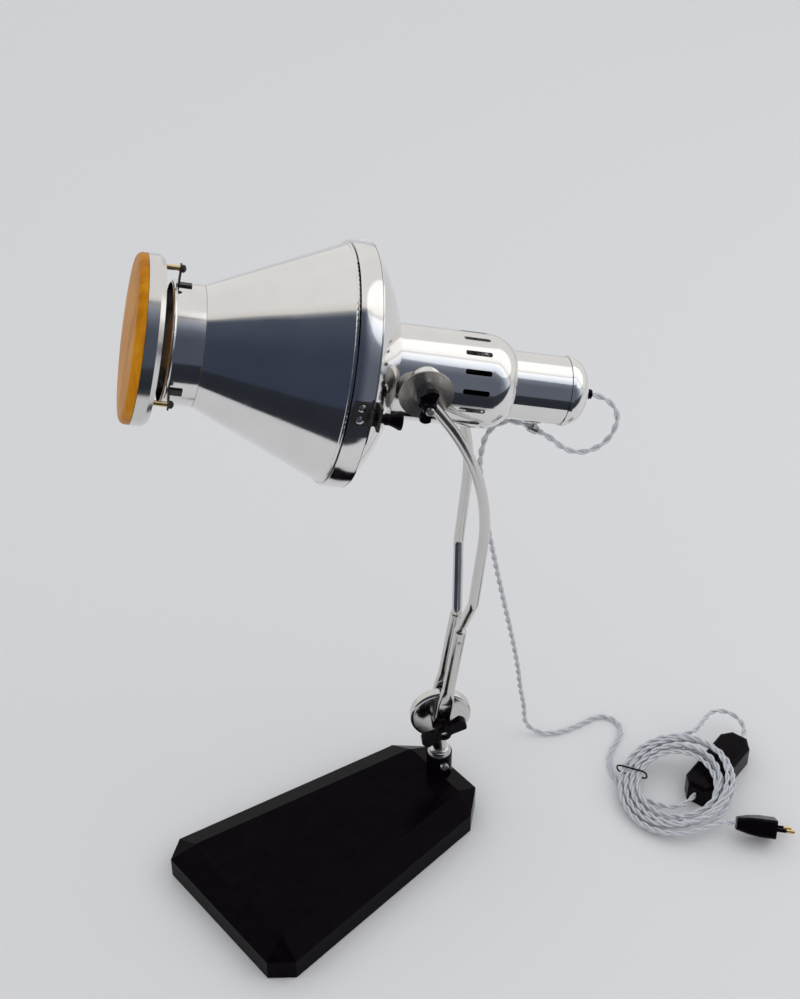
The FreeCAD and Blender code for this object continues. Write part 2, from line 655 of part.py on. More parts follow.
def wingOutline(span, tip, hub):
    """Two rounded ears on a hub, seen along the bolt."""
    neck = hub * 0.62
    root = hub * 0.9
    ear = [(root, -neck), (span - tip * 0.5, -tip, (tip * 1.3, 1)), (span, 0.0, (tip * 1.3, 1)),
           (span - tip * 0.5, tip), (root, neck)]
    return ear + [(-x, -y) + tuple(rest) for x, y, *rest in ear]


def makeWing(label, place, start, length, lift, hub, span, tip, thick, turn):
    wing = newBody(label, place * Placement(Vector(), Rotation(acrossAxis, turn)))
    hubSketch = newSketch(wing, "XY")
    outline(hubSketch, [(start, boltBore), (start, hub), (start + length * 0.7, hub),
                        (start + length, hub * 0.8), (start + length, boltBore)])
    revolve(wing, hubSketch, "H_Axis")
    earSketch = newSketch(wing, "YZ", start + lift)
    outline(earSketch, wingOutline(span, tip, hub))
    pad(wing, earSketch, thick)
    boreSketch = newSketch(wing, "YZ", start - 1.0)
    round2(boreSketch, boltBore)
    pocket(wing, boreSketch, None, True)
    return wing


insertIn = bladeOut + size("seat_gap")
insertOut = insertIn + size("insert_thick")
turned("lower_knob_insert", armFrame, [
    (insertIn, boltBore), (insertIn, size("insert_radius")),
    (insertOut, size("insert_radius")), (insertOut, boltBore)], "XY", "H_Axis")
makeWing("lower_wing_knob", armFrame, insertOut, size("knob_length"), size("knob_length") * 0.25,
         size("knob_hub"), size("knob_span"), size("knob_tip"), size("knob_thick"),
         num("knob_turn"))

# Upper pivots: saddle bosses, friction cups, studs and wing nuts, on both sides
saddleBore = tubeOut + size("close_gap")
studRoot = tubeOut + size("stud_rise")


def makeSaddle(name, radius, face):
    saddle = newBody(name + "_saddle_blank")
    saddleSketch = newSketch(saddle, "YZ", tubeOut / 2)
    round2(saddleSketch, radius)
    pad(saddle, saddleSketch, face - tubeOut / 2)
    seatSketch = newSketch(saddle, "XZ", radius + 1.0)
    round2(seatSketch, saddleBore, 0.0, -size("pivot_up"))
    pocket(saddle, seatSketch)
    tapSketch = newSketch(saddle, "YZ", face)
    round2(tapSketch, boltBore)
    pocket(saddle, tapSketch, face - studRoot)
    return saddle


def makeStud(name, end):
    return turned(name + "_stud_blank", None, [
        (studRoot, 0.0), (studRoot, size("bolt_radius")), (end - 1.0, size("bolt_radius")),
        (end, size("bolt_radius") - 1.0), (end, 0.0)], "XY", "H_Axis")


def bothSides(label, near, far):
    return group(label, [placed(near, headPivot), placed(far, headPivot * farSide)])


nearSaddle = makeSaddle("near", size("saddle_radius"), saddleFace)
farSaddle = makeSaddle("far", size("far_saddle_radius"), farSaddleFace)
nearCup = turned("near_cup_blank", None, [
    (cupIn, boltBore), (cupIn, size("cup_hub")),
    (cupIn + size("cup_depth") - size("cup_thick"), size("cup_radius")),
    (cupIn + size("cup_depth"), size("cup_radius")), (cupOut, size("cup_hub")),
    (cupOut, boltBore)], "XY", "H_Axis")
farCup = turned("far_cup_blank", None, [
    (farCupIn, boltBore), (farCupIn, size("far_cup_radius")),
    (farCupOut, size("far_cup_radius")), (farCupOut, boltBore)], "XY", "H_Axis")
nearStud = makeStud("near", eyeOut + size("stud_reach"))
farStud = makeStud("far", farEyeOut + size("far_stud_reach"))
bothSides("pivot_saddles", nearSaddle, farSaddle)
bothSides("friction_cups", nearCup, farCup)
bothSides("pivot_studs", nearStud, farStud)
makeWing("wing_nut_near", pivotFrame, nutIn, size("wing_length"), size("wing_length") * 0.25,
         size("wing_hub"), size("wing_span"), size("wing_tip"), size("wing_thick"),
         num("wing_turn"))
makeWing("wing_nut_far", pivotFrame * farSide, farNutIn, size("far_wing_length"),
         size("far_wing_lift"), size("far_wing_hub"), size("far_wing_span"),
         size("far_wing_tip"), size("far_wing_thick"), num("far_wing_turn"))

# Lamp housing: a slotted tube that narrows to the rear tube, with a bayonet slot
mouth = size("rear_radius") + size("joint_gap")
wall = size("sheet_wall")
step = size("tube_radius") - wall - mouth
run = size("shoulder_back") - size("shoulder_front")
shoulderArc = (step * step + run * run) / (step * 2)
housing = turned("housing_tube", headFrame, [
    (size("tube_radius"), size("tube_front")),
    (size("tube_radius"), size("shoulder_front"), (shoulderArc, 1)),
    (mouth + wall, size("shoulder_back")),
    (mouth, size("shoulder_back"), (shoulderArc, -1)),
    (size("tube_radius") - wall, size("shoulder_front")),
    (size("tube_radius") - wall, size("tube_front"))])
slotHalf = size("slot_width") / 2
slotRun = size("slot_length") / 2 - slotHalf
slotBend = slotHalf * 1.15
slotSketch = newSketch(housing, "XY", size("tube_radius") + 1.0)
outline(slotSketch, [
    (slotHalf, size("slot_middle") - slotRun),
    (slotHalf, size("slot_middle") + slotRun, (slotBend, 1)),
    (-slotHalf, size("slot_middle") + slotRun),
    (-slotHalf, size("slot_middle") - slotRun, (slotBend, 1))])
slots = pocket(housing, slotSketch, wall + 4.0)
ringOfSlots = housing.newObject("PartDesign::PolarPattern", "slot_ring")
ringOfSlots.Originals = [slots]
turnAxis = [item for item in housing.Origin.OriginFeatures if item.Role == "Y_Axis"][0]
ringOfSlots.Axis = (turnAxis, [""])
ringOfSlots.Angle = 360
ringOfSlots.setExpression("Occurrences", size("slot_count").text)
housing.Tip = ringOfSlots
doc.recompute()
bayonet = newSketch(housing, "XY")
lean = 90 - num("bayonet_turn")
reach = num("tube_radius") + 2
bayonet.AttachmentOffset = Placement(Rotation(alongAxis, lean).multVec(Vector(0, 0, reach)),
                                     Rotation(alongAxis, lean))
bayonet.setExpression("AttachmentOffset.Base.x",
                      "(Sizes.tube_radius + 2) * cos(Sizes.bayonet_turn)")
bayonet.setExpression("AttachmentOffset.Base.z",
                      "(Sizes.tube_radius + 2) * sin(Sizes.bayonet_turn)")
bayonet.setExpression("AttachmentOffset.Rotation.Angle", "90 - Sizes.bayonet_turn")
slit = size("bayonet_width") / 2
outline(bayonet, [
    (slit, size("tube_front") - 1.0), (slit, size("bayonet_end")),
    (-slit, size("bayonet_end")), (-slit, size("bayonet_notch") + slit * 2),
    (-slit - size("bayonet_rise"), size("bayonet_notch") + slit * 2),
    (-slit - size("bayonet_rise"), size("bayonet_notch")), (-slit, size("bayonet_notch")),
    (-slit, size("tube_front") - 1.0)])
pocket(housing, bayonet, wall + 4.0)

# Reflector dome, with its rolled flange in front and the sleeve that enters the tube
bandR = size("cone_r") + size("band_step")
domeRim = size("cone_r") + size("rim_step")
sleeveOut = size("tube_radius") - wall - size("close_gap")
domeEnd = size("tube_front") - size("joint_gap")
dome = turned("reflector_dome", headFrame, [
    (bandR, size("dome_front")), (bandR, size("dome_front") + wall),
    (domeRim, size("dome_front") + wall, (size("dome_arc"), 1)),
    (size("tube_radius") + size("joint_gap"), domeEnd), (sleeveOut, domeEnd),
    (sleeveOut, size("tube_front") + size("dome_sleeve")),
    (sleeveOut - wall, size("tube_front") + size("dome_sleeve")),
    (sleeveOut - wall, domeEnd - wall * 0.4, (size("dome_arc"), -1)),
    (domeRim - wall, size("dome_front")),
    (domeRim - wall, size("dome_front") - size("lip_length")),
    (domeRim, size("dome_front") - size("lip_length")),
    (domeRim, size("dome_front"))])

# Rear tube, its rounded cap, the cord gland, and the lamp holder inside
turned("rear_tube", headFrame, [
    (size("rear_radius"), size("rear_front")), (size("rear_radius"), size("rear_back")),
    (size("rear_radius") - wall, size("rear_back")),
    (size("rear_radius") - wall, size("rear_front"))])
capSleeve = size("rear_radius") - wall - size("close_gap")
capStart = size("rear_back") + size("joint_gap")
beadEnd = capStart + size("cap_bead_length")
beadOut = size("rear_radius") + size("cap_bead")
glandHole = size("gland_radius") + size("joint_gap")
turned("rear_cap", headFrame, [
    (beadOut, capStart), (beadOut, beadEnd), (size("rear_radius") + 0.4, beadEnd,
                                              (size("cap_arc"), 1)),
    (size("cap_face_radius"), size("cap_face")), (glandHole, size("cap_face")),
    (glandHole, size("cap_face") - wall),
    (size("cap_face_radius"), size("cap_face") - wall, (size("cap_arc"), -1)),
    (capSleeve - wall, beadEnd), (capSleeve - wall, size("rear_back") - size("cap_sleeve")),
    (capSleeve, size("rear_back") - size("cap_sleeve")), (capSleeve, capStart)])
turned("cord_gland", headFrame, [
    (0.0, size("cap_face") - 6.0), (size("gland_radius"), size("cap_face") - 6.0),
    (size("gland_radius"), size("cap_face")), (size("gland_flange"), size("cap_face")),
    (size("gland_flange"), size("cap_face") + 1.5),
    (size("gland_radius"), size("cap_face") + 1.5),
    (size("gland_radius") - 1.3, size("gland_end")), (0.0, size("gland_end"))])
turned("socket_plate", headFrame, [
    (5.0, size("socket_plate_s")), (capSleeve, size("socket_plate_s")),
    (capSleeve, size("socket_plate_s") + size("socket_plate_thick")),
    (5.0, size("socket_plate_s") + size("socket_plate_thick"))])
bulbHole = size("bulb_cap_radius") + size("joint_gap")
bulbBack = size("bulb_cap_back") + size("joint_gap")
turned("lamp_socket", headFrame, [
    (bulbHole, size("socket_front")), (size("socket_radius") - 2.0, size("socket_front")),
    (size("socket_radius"), size("socket_front") + 2.0),
    (size("socket_radius"), size("socket_plate_s")), (0.0, size("socket_plate_s")),
    (0.0, bulbBack), (bulbHole, bulbBack)])
glassBack = size("bulb_neck_s") + 4.0
turned("bulb_cap", headFrame, [
    (0.0, glassBack), (size("bulb_cap_radius"), glassBack),
    (size("bulb_cap_radius"), size("bulb_cap_back") - 5.0),
    (5.0, size("bulb_cap_back")), (0.0, size("bulb_cap_back"))])
turned("lamp_bulb", headFrame, [
    (0.0, size("bulb_middle") - size("bulb_radius"), (size("bulb_radius"), 1)),
    (size("bulb_radius"), size("bulb_middle"), (size("bulb_radius") * 1.7, 1)),
    (size("bulb_cap_radius"), size("bulb_neck_s")), (size("bulb_cap_radius"), glassBack),
    (0.0, glassBack)])

# Front shell: cone, band, nose collar, filter ring and the amber glass
coneEnd = size("band_front") - size("joint_gap")
beadMiddle = coneEnd - size("bead_r")
coneStart = coneEnd - size("bead_r") * 2
turned("front_cone", headFrame, [
    (size("collar_r"), size("nose_back")), (size("cone_r"), coneStart, (size("bead_r"), 1)),
    (size("cone_r") + size("bead_r"), beadMiddle, (size("bead_r"), 1)),
    (size("cone_r"), coneEnd), (size("cone_r") - wall * 1.5, coneEnd),
    (size("cone_r") - wall * 1.5, coneStart), (size("collar_r") - wall * 1.1,
                                               size("nose_back"))])
bandChord = (size("band_back") - size("band_front")) / 2
bulge = bandChord * bandChord / (size("band_bulge") * 2)
turned("front_band", headFrame, [
    (size("cone_r") - wall * 1.5, size("band_front")),
    (bandR, size("band_front"), (size("band_bulge"), 1)),
    (bandR, size("band_back")), (bandR - wall, size("band_back")),
    (bandR - wall, size("band_front") + wall),
    (size("cone_r") - wall * 1.5, size("band_front") + wall)])
noseBack = size("nose_back") - size("joint_gap")
noseBead = size("collar_front") + size("collar_bead")
turned("nose_collar", headFrame, [
    (size("collar_r"), noseBack), (size("collar_r") - wall, noseBack),
    (size("collar_r") - wall, size("collar_front")),
    (size("collar_r"), size("collar_front"), (size("collar_bead"), 1)),
    (size("collar_r") + size("collar_bead"), noseBead, (size("collar_bead"), 1)),
    (size("collar_r"), noseBead + size("collar_bead"))])
turned("filter_ring", headFrame, [
    (size("ring_hole"), size("ring_front")), (size("ring_r"), size("ring_front")),
    (size("ring_r"), size("ring_back")), (size("lip_r"), size("lip_back")),
    (size("lip_r") - wall, size("lip_back")), (size("lip_r") - wall, size("ring_back")),
    (size("ring_hole"), size("ring_back"))])
spigot = size("ring_hole") - size("joint_gap")
faceR = size("filter_r") - size("filter_round") * 0.7
crown = crownArc(faceR, size("filter_crown"))
turned("amber_filter", headFrame, [
    (0.0, size("ring_front") + size("filter_spigot")),
    (spigot, size("ring_front") + size("filter_spigot")), (spigot, size("ring_front")),
    (size("filter_r"), size("ring_front")),
    (size("filter_r"), size("filter_front") + size("filter_round") * 0.8,
     (size("filter_round"), -1)),
    (faceR, size("filter_front"), (crown, -1)),
    (0.0, size("filter_front") - size("filter_crown"))])

# Three pins hold the filter ring off the collar, each with a nut and an angle bracket
pinTurns = [num("pin_turn") + 120 * index for index in range(3)]
pinPlaces = [aroundHead(turn) for turn in pinTurns]
pinMaster = rod("pin_blank", at(0, num("ring_back"), num("pin_ring_r"), yUp), size("pin_r"),
                size("pin_back") - size("ring_back"))
copies("filter_pins", pinMaster, pinPlaces)
strapEnd = size("pin_back") + size("strap_thick")
nut = newBody("pin_nut_blank")
nutSketch = newSketch(nut, "XY")
outline(nutSketch, [(0.0, strapEnd), (size("nut_r"), strapEnd),
                    (size("nut_r"), strapEnd + size("nut_length") / 2,
                     (crownArc(size("nut_r"), size("nut_length") / 2), 1)),
                    (0.0, strapEnd + size("nut_length"))])
revolve(nut, nutSketch, "V_Axis")
copies("filter_pin_nuts", nut, [place * at(0, 0, num("pin_ring_r")) for place in pinPlaces])
strapLow = size("collar_r") + size("joint_gap")
strap = block("strap_blank",
              at(-num("strap_width") / 2, num("pin_back"), strapLow.number),
              [size("strap_width"), size("strap_thick"),
               size("pin_ring_r") + size("pin_r") + 1.5 - strapLow])
foot = block("foot_blank", at(-num("strap_width") / 2, num("pin_back"), strapLow.number),
             [size("strap_width"), size("foot_length"), size("strap_thick")])
bracket = fused("bracket_blank", [strap, foot])
copies("filter_brackets", bracket, pinPlaces)

# Hinge between the band and the dome
hingeR = bandR + size("hinge_rise")
hingeFrame = aroundHead(num("hinge_turn")) * at(0, num("hinge_s"), hingeR.number)
leafLow = bandR + bulge + size("joint_gap")
leafGap = size("barrel_r") + 0.6
leafPlate = block("leaf_plate", hingeFrame * at(-num("leaf_half"),
                                                num("leaf_front") - num("hinge_s"),
                                                leafLow.number - hingeR.number),
                  [size("leaf_half") * 2, size("hinge_s") - size("leaf_front") - leafGap,
                   size("leaf_thick")])
leafTongue = block("leaf_tongue", hingeFrame * at(-num("barrel_middle"), -leafGap.number,
                                                  leafLow.number - hingeR.number),
                   [size("barrel_middle") * 2, leafGap, size("leaf_thick")])
middleBarrel = rod("middle_barrel", hingeFrame * at(-num("barrel_middle"), 0, 0, xUp),
                   size("barrel_r"), size("barrel_middle") * 2)
frontLeaf = fused("front_leaf_solid", [leafPlate, leafTongue, middleBarrel])
hingeBore = rod("hinge_bore", hingeFrame * at(-num("barrel_half") - 2, 0, 0, xUp),
                size("hinge_pin_r") + size("run_clear"), size("barrel_half") * 2 + 4.0)
keep(cutFrom("front_hinge_leaf", frontLeaf, hingeBore))
sideLength = size("barrel_half") - size("barrel_middle") - size("joint_gap")
sideStart = num("barrel_middle") + num("joint_gap")
blockLow = domeRim + size("joint_gap") - hingeR
blockFront = size("dome_front") + wall + size("joint_gap") - size("hinge_s")
blockDeep = size("block_back") - size("hinge_s") - blockFront
rearBase = block("rear_leaf_base", hingeFrame * at(-num("block_half"), blockFront.number,
                                                   blockLow.number),
                 [size("block_half") * 2, blockDeep,
                  -blockLow - size("barrel_r") - size("joint_gap")])
rearPieces = [rearBase]
for index, start in enumerate((-num("barrel_half"), sideStart)):
    rearPieces.append(rod("side_barrel_%d" % index, hingeFrame * at(start, 0, 0, xUp),
                          size("barrel_r"), sideLength))
    rearPieces.append(block("side_cheek_%d" % index,
                            hingeFrame * at(start, blockFront.number, blockLow.number),
                            [sideLength, blockDeep, -blockLow]))
rearLeaf = fused("rear_leaf_solid", rearPieces)
rearBore = rod("rear_bore", hingeFrame * at(-num("barrel_half") - 2, 0, 0, xUp),
               size("hinge_pin_r") + size("run_clear"), size("barrel_half") * 2 + 4.0)
keep(cutFrom("rear_hinge_leaf", rearLeaf, rearBore))
keep(rod("hinge_pin", hingeFrame * at(-num("barrel_half") - 0.6, 0, 0, xUp),
         size("hinge_pin_r"), size("barrel_half") * 2 + 1.2))

# Clasp: a plate with two rivets on the band, a lug on the dome and the knob that joins them
claspFrame = aroundHead(num("clasp_turn"))
claspR = bandR + size("clasp_rise")
lugTop = bandR + size("lug_rise")
uprightFront = size("band_back") - size("leaf_thick") * 2 - 1.0
claspPlate = block("clasp_sheet", claspFrame * at(-num("clasp_half"), num("clasp_front"),
                                                  leafLow.number),
                   [size("clasp_half") * 2, size("band_back") - size("clasp_front") - 1.0,
                    size("clasp_thick")])
claspUpright = block("clasp_upright", claspFrame * at(-num("clasp_half") * 0.6,
                                                      uprightFront.number, leafLow.number),
                     [size("clasp_half") * 1.2, size("leaf_thick") * 2,
                      lugTop - leafLow])
claspSolid = fused("clasp_solid", [claspPlate, claspUpright])
claspBore = rod("clasp_bore", claspFrame * at(0, uprightFront.number - 1, claspR.number, yUp),
                size("clasp_screw") + size("joint_gap"), 6.0)
keep(cutFrom("clasp_plate", claspSolid, claspBore))
rivet = newBody("rivet_blank")
rivetSketch = newSketch(rivet, "XZ")
outline(rivetSketch, [(0.0, 0.0), (3.4, 0.0), (3.4, 0.4, (crownArc(3.4, 1.2), 1)), (0.0, 1.6)])
revolve(rivet, rivetSketch, "V_Axis")
rivetLevel = (leafLow + size("clasp_thick")).number
rivetY = (num("clasp_front") + num("band_back")) / 2 - 1.5
copies("clasp_rivets", rivet,
       [claspFrame * at(side * num("clasp_half") * 0.52, rivetY, rivetLevel)
        for side in (1, -1)])
lugFront = size("dome_front") + wall + size("joint_gap")
lugBack = size("lug_s") + size("lug_thick")
lugLow = domeRim + size("joint_gap")
lugBase = block("lug_base", claspFrame * at(-num("lug_half"), lugFront.number, lugLow.number),
                [size("lug_half") * 2, lugBack - lugFront, bandR - lugLow])
lugPlate = block("lug_plate", claspFrame * at(-num("lug_half"), num("lug_s"), lugLow.number),
                 [size("lug_half") * 2, size("lug_thick"), lugTop - lugLow])
lugSolid = fused("lug_solid", [lugBase, lugPlate])
lugBore = rod("lug_bore", claspFrame * at(0, num("lug_s") - 4, claspR.number, yUp),
              size("clasp_screw") + size("run_clear"), size("lug_thick") + 8.0)
keep(cutFrom("clasp_lug", lugSolid, lugBore))
collarStart = lugBack + size("joint_gap")
turned("clasp_knob", claspFrame * at(0, 0, claspR.number), [
    (0.0, uprightFront + size("joint_gap")), (size("clasp_screw"), uprightFront
                                              + size("joint_gap")),
    (size("clasp_screw"), collarStart), (size("clasp_knob_neck") - 1.0, collarStart),
    (size("clasp_knob_neck") - 1.0, size("clasp_knob_front")),
    (size("clasp_knob_neck"), size("clasp_knob_front")),
    (size("clasp_knob_neck"), size("clasp_knob_front") + 4.0, (30.0, -1)),
    (size("clasp_knob_rim"), size("clasp_knob_back") - 3.0),
    (size("clasp_knob_rim"), size("clasp_knob_back") - 1.0,
     (crownArc(size("clasp_knob_rim"), 1.0), 1)),
    (0.0, size("clasp_knob_back"))])

# Clip that carries the cord under the rear tube
clipPlace = headFrame * at(num("clip_w"), num("clip_s"), -num("clip_drop"))
clipTurn = Rotation(acrossAxis, 90 - num("clip_turn"))
clipOut = size("cord_radius") + size("seat_gap") + size("clip_wall")
clipRing = rod("clip_ring", clipPlace * Placement(Vector(), clipTurn)
               * at(0, 0, -num("clip_width") / 2), clipOut, size("clip_width"))
tubeLow = -size("rear_radius") - size("joint_gap")
tabTop = tubeLow + size("clip_drop")
clipTab = block("clip_tab", clipPlace * at(-num("clip_width") / 2, -num("clip_width") / 2 - 8,
                                           tabTop.number - num("clip_wall")),
                [size("clip_width"), size("clip_width") + 8.0, size("clip_wall")])
clipWeb = block("clip_web", clipPlace * at(-num("clip_width") / 2, -num("clip_wall"),
                                           num("cord_radius")),
                [size("clip_width"), size("clip_wall") * 2, tabTop - size("cord_radius")])
clipSolid = fused("clip_solid", [clipRing, clipTab, clipWeb])
clipBore = rod("clip_bore", clipPlace * Placement(Vector(), clipTurn)
               * at(0, 0, -num("clip_width") * 2), size("cord_radius") + size("seat_gap"),
               size("clip_width") * 4)
keep(cutFrom("cord_clip", clipSolid, clipBore))
keep(rod("cord_clip_screw", clipPlace * at(0, -num("clip_screw_back"),
                                           tabTop.number - num("clip_wall"),
                                           Rotation(acrossAxis, 180)),
         size("clip_screw_radius"), size("clip_screw_head")))

# In-line switch: two case halves and a rocker
switchFrame = at(num("switch_x"), num("switch_y"), 0, Rotation(upAxis, num("switch_turn")))
longHalf = size("switch_length") / 2
wideHalf = size("switch_width") / 2
casePlan = [(-longHalf, -size("switch_end")), (-longHalf + 11.0, -wideHalf),
            (longHalf - 11.0, -wideHalf), (longHalf, -size("switch_end")),
            (longHalf, size("switch_end")), (longHalf - 11.0, wideHalf),
            (-longHalf + 11.0, wideHalf), (-longHalf, size("switch_end"))]
lowerCase = newBody("switch_case_lower", switchFrame)
lowerSketch = newSketch(lowerCase, "XY")
outline(lowerSketch, casePlan)
pad(lowerCase, lowerSketch, size("switch_split"))
upperCase = newBody("switch_case_upper", switchFrame)
seamTop = size("switch_split") + size("close_gap")
upperSketch = newSketch(upperCase, "XY", seamTop)
outline(upperSketch, casePlan)
upperPad = pad(upperCase, upperSketch, size("switch_height") - seamTop)
doc.recompute()
topFace = max(range(len(upperPad.Shape.Faces)),
              key=lambda index: upperPad.Shape.Faces[index].CenterOfMass.z)
softTop = upperCase.newObject("PartDesign::Fillet", "case_fillet")
softTop.Base = (upperPad, ["Face%d" % (topFace + 1)])
softTop.Radius = num("switch_round")
softTop.setExpression("Radius", size("switch_round").text)
rockerZ = size("switch_height") + size("rocker_rise") - size("rocker_radius")
rockerWell = size("rocker_radius") + size("joint_gap") * 2
wellSketch = newSketch(upperCase, "XY", size("switch_height") + 1.0)
rockerSide = size("rocker_half") + size("joint_gap")
outline(wellSketch, [(-rockerWell, -rockerSide), (rockerWell, -rockerSide),
                     (rockerWell, rockerSide), (-rockerWell, rockerSide)])
pocket(upperCase, wellSketch, size("switch_height") + 1.0 - seamTop - 1.5)
axleSketch = newSketch(upperCase, "XZ", rockerSide + 2.0)
round2(axleSketch, 1.5 + num("run_clear"), 0.0, rockerZ)
pocket(upperCase, axleSketch, rockerSide * 2 + 4.0)
rocker = newBody("switch_rocker", switchFrame)
rockerSketch = newSketch(rocker, "XZ", -size("rocker_half"))
outline(rockerSketch, [
    (-size("rocker_radius"), rockerZ + 1.5), (-size("rocker_radius") * 0.8, rockerZ - 3.0),
    (size("rocker_radius") * 0.8, rockerZ - 3.0), (size("rocker_radius"), rockerZ + 3.0),
    (size("rocker_radius") * 0.8, rockerZ + 5.0), (0.0, rockerZ + 2.6),
    (-size("rocker_radius") * 0.8, rockerZ + 3.0)])
pad(rocker, rockerSketch, size("rocker_half") * 2)
axle = newSketch(rocker, "XZ", -size("rocker_half") - 1.8)
round2(axle, 1.5, 0.0, rockerZ)
pad(rocker, axle, size("rocker_half") * 2 + 3.6)

# Plug: a flat moulded body with two sleeved prongs, lying on one edge
plugStart = Vector(240.3, 327.5, 19.5)
plugFrame = Placement(plugStart, Rotation(upAxis, 44.6) * Rotation(alongAxis, 4.7)
                      * Rotation(acrossAxis, -38.5))
plug = newBody("plug_body", plugFrame)


def plugSection(owner, lift, wide, thick):
    sketch = newSketch(owner, "YZ", lift)
    outline(sketch, [(wide / 2, -thick / 2 + 2.0), (wide / 2, thick / 2 - 2.0),
                     (wide / 2 - 2.0, thick / 2), (-wide / 2 + 2.0, thick / 2),
                     (-wide / 2, thick / 2 - 2.0), (-wide / 2, -thick / 2 + 2.0),
                     (-wide / 2 + 2.0, -thick / 2), (wide / 2 - 2.0, -thick / 2)])
    return sketch


plugLoft = plug.newObject("PartDesign::AdditiveLoft", "plug_loft")
plugLoft.Profile = plugSection(plug, 0.0, size("plug_nose") * 0.6, size("plug_thick") * 0.65)
plugLoft.Sections = [
    plugSection(plug, size("plug_length") * 0.3, size("plug_nose"), size("plug_thick") * 0.9),
    plugSection(plug, size("plug_length") * 0.6, size("plug_width"), size("plug_thick")),
    plugSection(plug, size("plug_length"), size("plug_width"), size("plug_thick"))]
plugLoft.Ruled = True
prongSides = [num("prong_space") / 2, -num("prong_space") / 2]
sleeveMaster = rod("prong_sleeve_blank", at(num("plug_length"), 0, 0, xUp),
                   size("prong_radius"), size("prong_sleeve"))
copies("plug_sleeves", sleeveMaster, [plugFrame * at(0, y, 0) for y in prongSides])
tipStart = size("plug_length") + size("prong_sleeve")
tipEnd = size("plug_length") + size("prong_length")
tip = newBody("prong_blank")
tipSketch = newSketch(tip, "XY")
outline(tipSketch, [(tipStart, 0.0), (tipStart, size("prong_radius")),
                    (tipEnd - size("prong_radius") * 0.6, size("prong_radius"),
                     (crownArc(size("prong_radius"), size("prong_radius") * 0.6), -1)),
                    (tipEnd, 0.0)])
revolve(tip, tipSketch, "H_Axis")
copies("plug_prongs", tip, [plugFrame * at(0, y, 0) for y in prongSides])


# Cord: round tubes along straight runs joined by the widest arcs that the runs allow
def cordBends(points):
    bends = []
    for before, here, after in zip(points, points[1:], points[2:]):
        inward = here - before
        outward = after - here
        angle = inward.getAngle(outward)
        bends.append(0.45 * min(inward.Length, outward.Length) / math.tan(angle / 2))
    return bends


def makeCord(label, points):
    spots = [Vector(*point) for point in points]
    bends = cordBends(spots)
    wire = bentPath(spots, bends)
    made = doc.addObject("Part::Feature", label)
    made.Label = label
    made.Shape = alongPath(wire, num("cord_radius"))
    nodes.append(made)
    expected = math.pi * num("cord_radius") ** 2 * wire.Length
    print("%s: %.1f mm, least bend %.1f mm, volume ratio %.4f, lowest %.2f" % (
        label, wire.Length, min(bends), made.Shape.Volume / expected,
        made.Shape.BoundBox.ZMin))
    return wire


def onHead(points):
    return [headFrame.multVec(Vector(*point)) for point in points]


clipLean = math.radians(num("clip_turn"))
clipAxis = Vector(0, -math.cos(clipLean), math.sin(clipLean))
clipMiddle = Vector(num("clip_w"), num("clip_s"), -num("clip_drop"))
tailPoints = onHead([(0, num("gland_end"), 0), (0.3, num("gland_end") + 15, -1.2),
                     (2, 235.7, -14.1), (3, 238.8, -31.9), (4, 232.6, -49.7),
                     (4.5, 216.9, -61.6), (4.5, 198.2, -60.7), clipMiddle - clipAxis * 19,
                     clipMiddle])
makeCord("cord_tail", tailPoints)
dropPoints = onHead([clipMiddle, clipMiddle + clipAxis * 19, (4.8, 129.5, -38.2),
                     (5.0, 120.6, -50.9), (5.0, 120.8, -69.0), (4.8, 123.6, -90.0)])
dropPoints += [Vector(*point) for point in [
    (18.3, 164.8, 397.0), (13.1, 175.2, 348.0), (10.2, 188.9, 297.6), (8.0, 202.1, 247.4),
    (5.5, 219.0, 186.0), (3.0, 235.0, 124.0), (-1.5, 245.5, 76.0), (-3.0, 254.5, 44.0),
    (-5.0, 257.0, 19.5), (2.0, 265.0, 5.0), (16.0, 277.5, 3.0), (23.5, 297.5, 3.1),
    (26.5, 318.0, 3.0), (28.5, 337.5, 3.1), (41.8, 347.8, 3.0), (59.0, 344.7, 3.1),
    (68.2, 330.2, 3.0), (74.5, 314.0, 3.1), (84.0, 300.5, 3.0), (97.0, 290.5, 3.1),
    (113.0, 284.3, 3.0), (129.5, 283.3, 3.1), (146.0, 287.5, 3.4), (162.4, 292.7, 5.6),
    (178.6, 298.0, 9.8), (186.8, 312.9, 13.0)]]
switchTail = switchFrame.multVec(Vector(-num("switch_length") / 2, 0, 13))
switchNose = switchFrame.multVec(Vector(num("switch_length") / 2, 0, 13))
dropPoints.append(switchTail)
makeCord("cord_drop", dropPoints)

# Coil: loops that spiral in on the lower layer and out again on the upper one
coilTilt = 15.5
coilPlace = at(166, 318, 21.9, Rotation(acrossAxis, coilTilt))
coilOuter = 62.0
coilPitch = 6.2
coilFrom = 140.0
coilSweep = 2720.0
coilMid = coilSweep / 2


def coilSpot(sweep):
    """Point and heading on the coil's centre line after a sweep in degrees."""
    away = abs(sweep - coilMid)
    radius = coilOuter - coilPitch * (coilMid - away) / 360
    ramp = min(max((sweep - coilMid) / 90, -1), 1)
    height = coilPitch / 2 * math.sin(ramp * math.pi / 2)
    growth = 0.0
    if abs(sweep - coilMid) > 1:
        growth = coilPitch / 360 * (1 if sweep > coilMid else -1)
    climb = 0.0
    if abs(ramp) < 1:
        climb = coilPitch / 2 * math.cos(ramp * math.pi / 2) * math.pi / 2 / 90
    angle = math.radians(coilFrom + sweep)
    outward = Vector(math.cos(angle), math.sin(angle), 0)
    sideways = Vector(-math.sin(angle), math.cos(angle), 0)
    heading = sideways * radius * math.pi / 180 + outward * growth + Vector(0, 0, climb)
    return outward * radius + Vector(0, 0, height), heading.normalize()


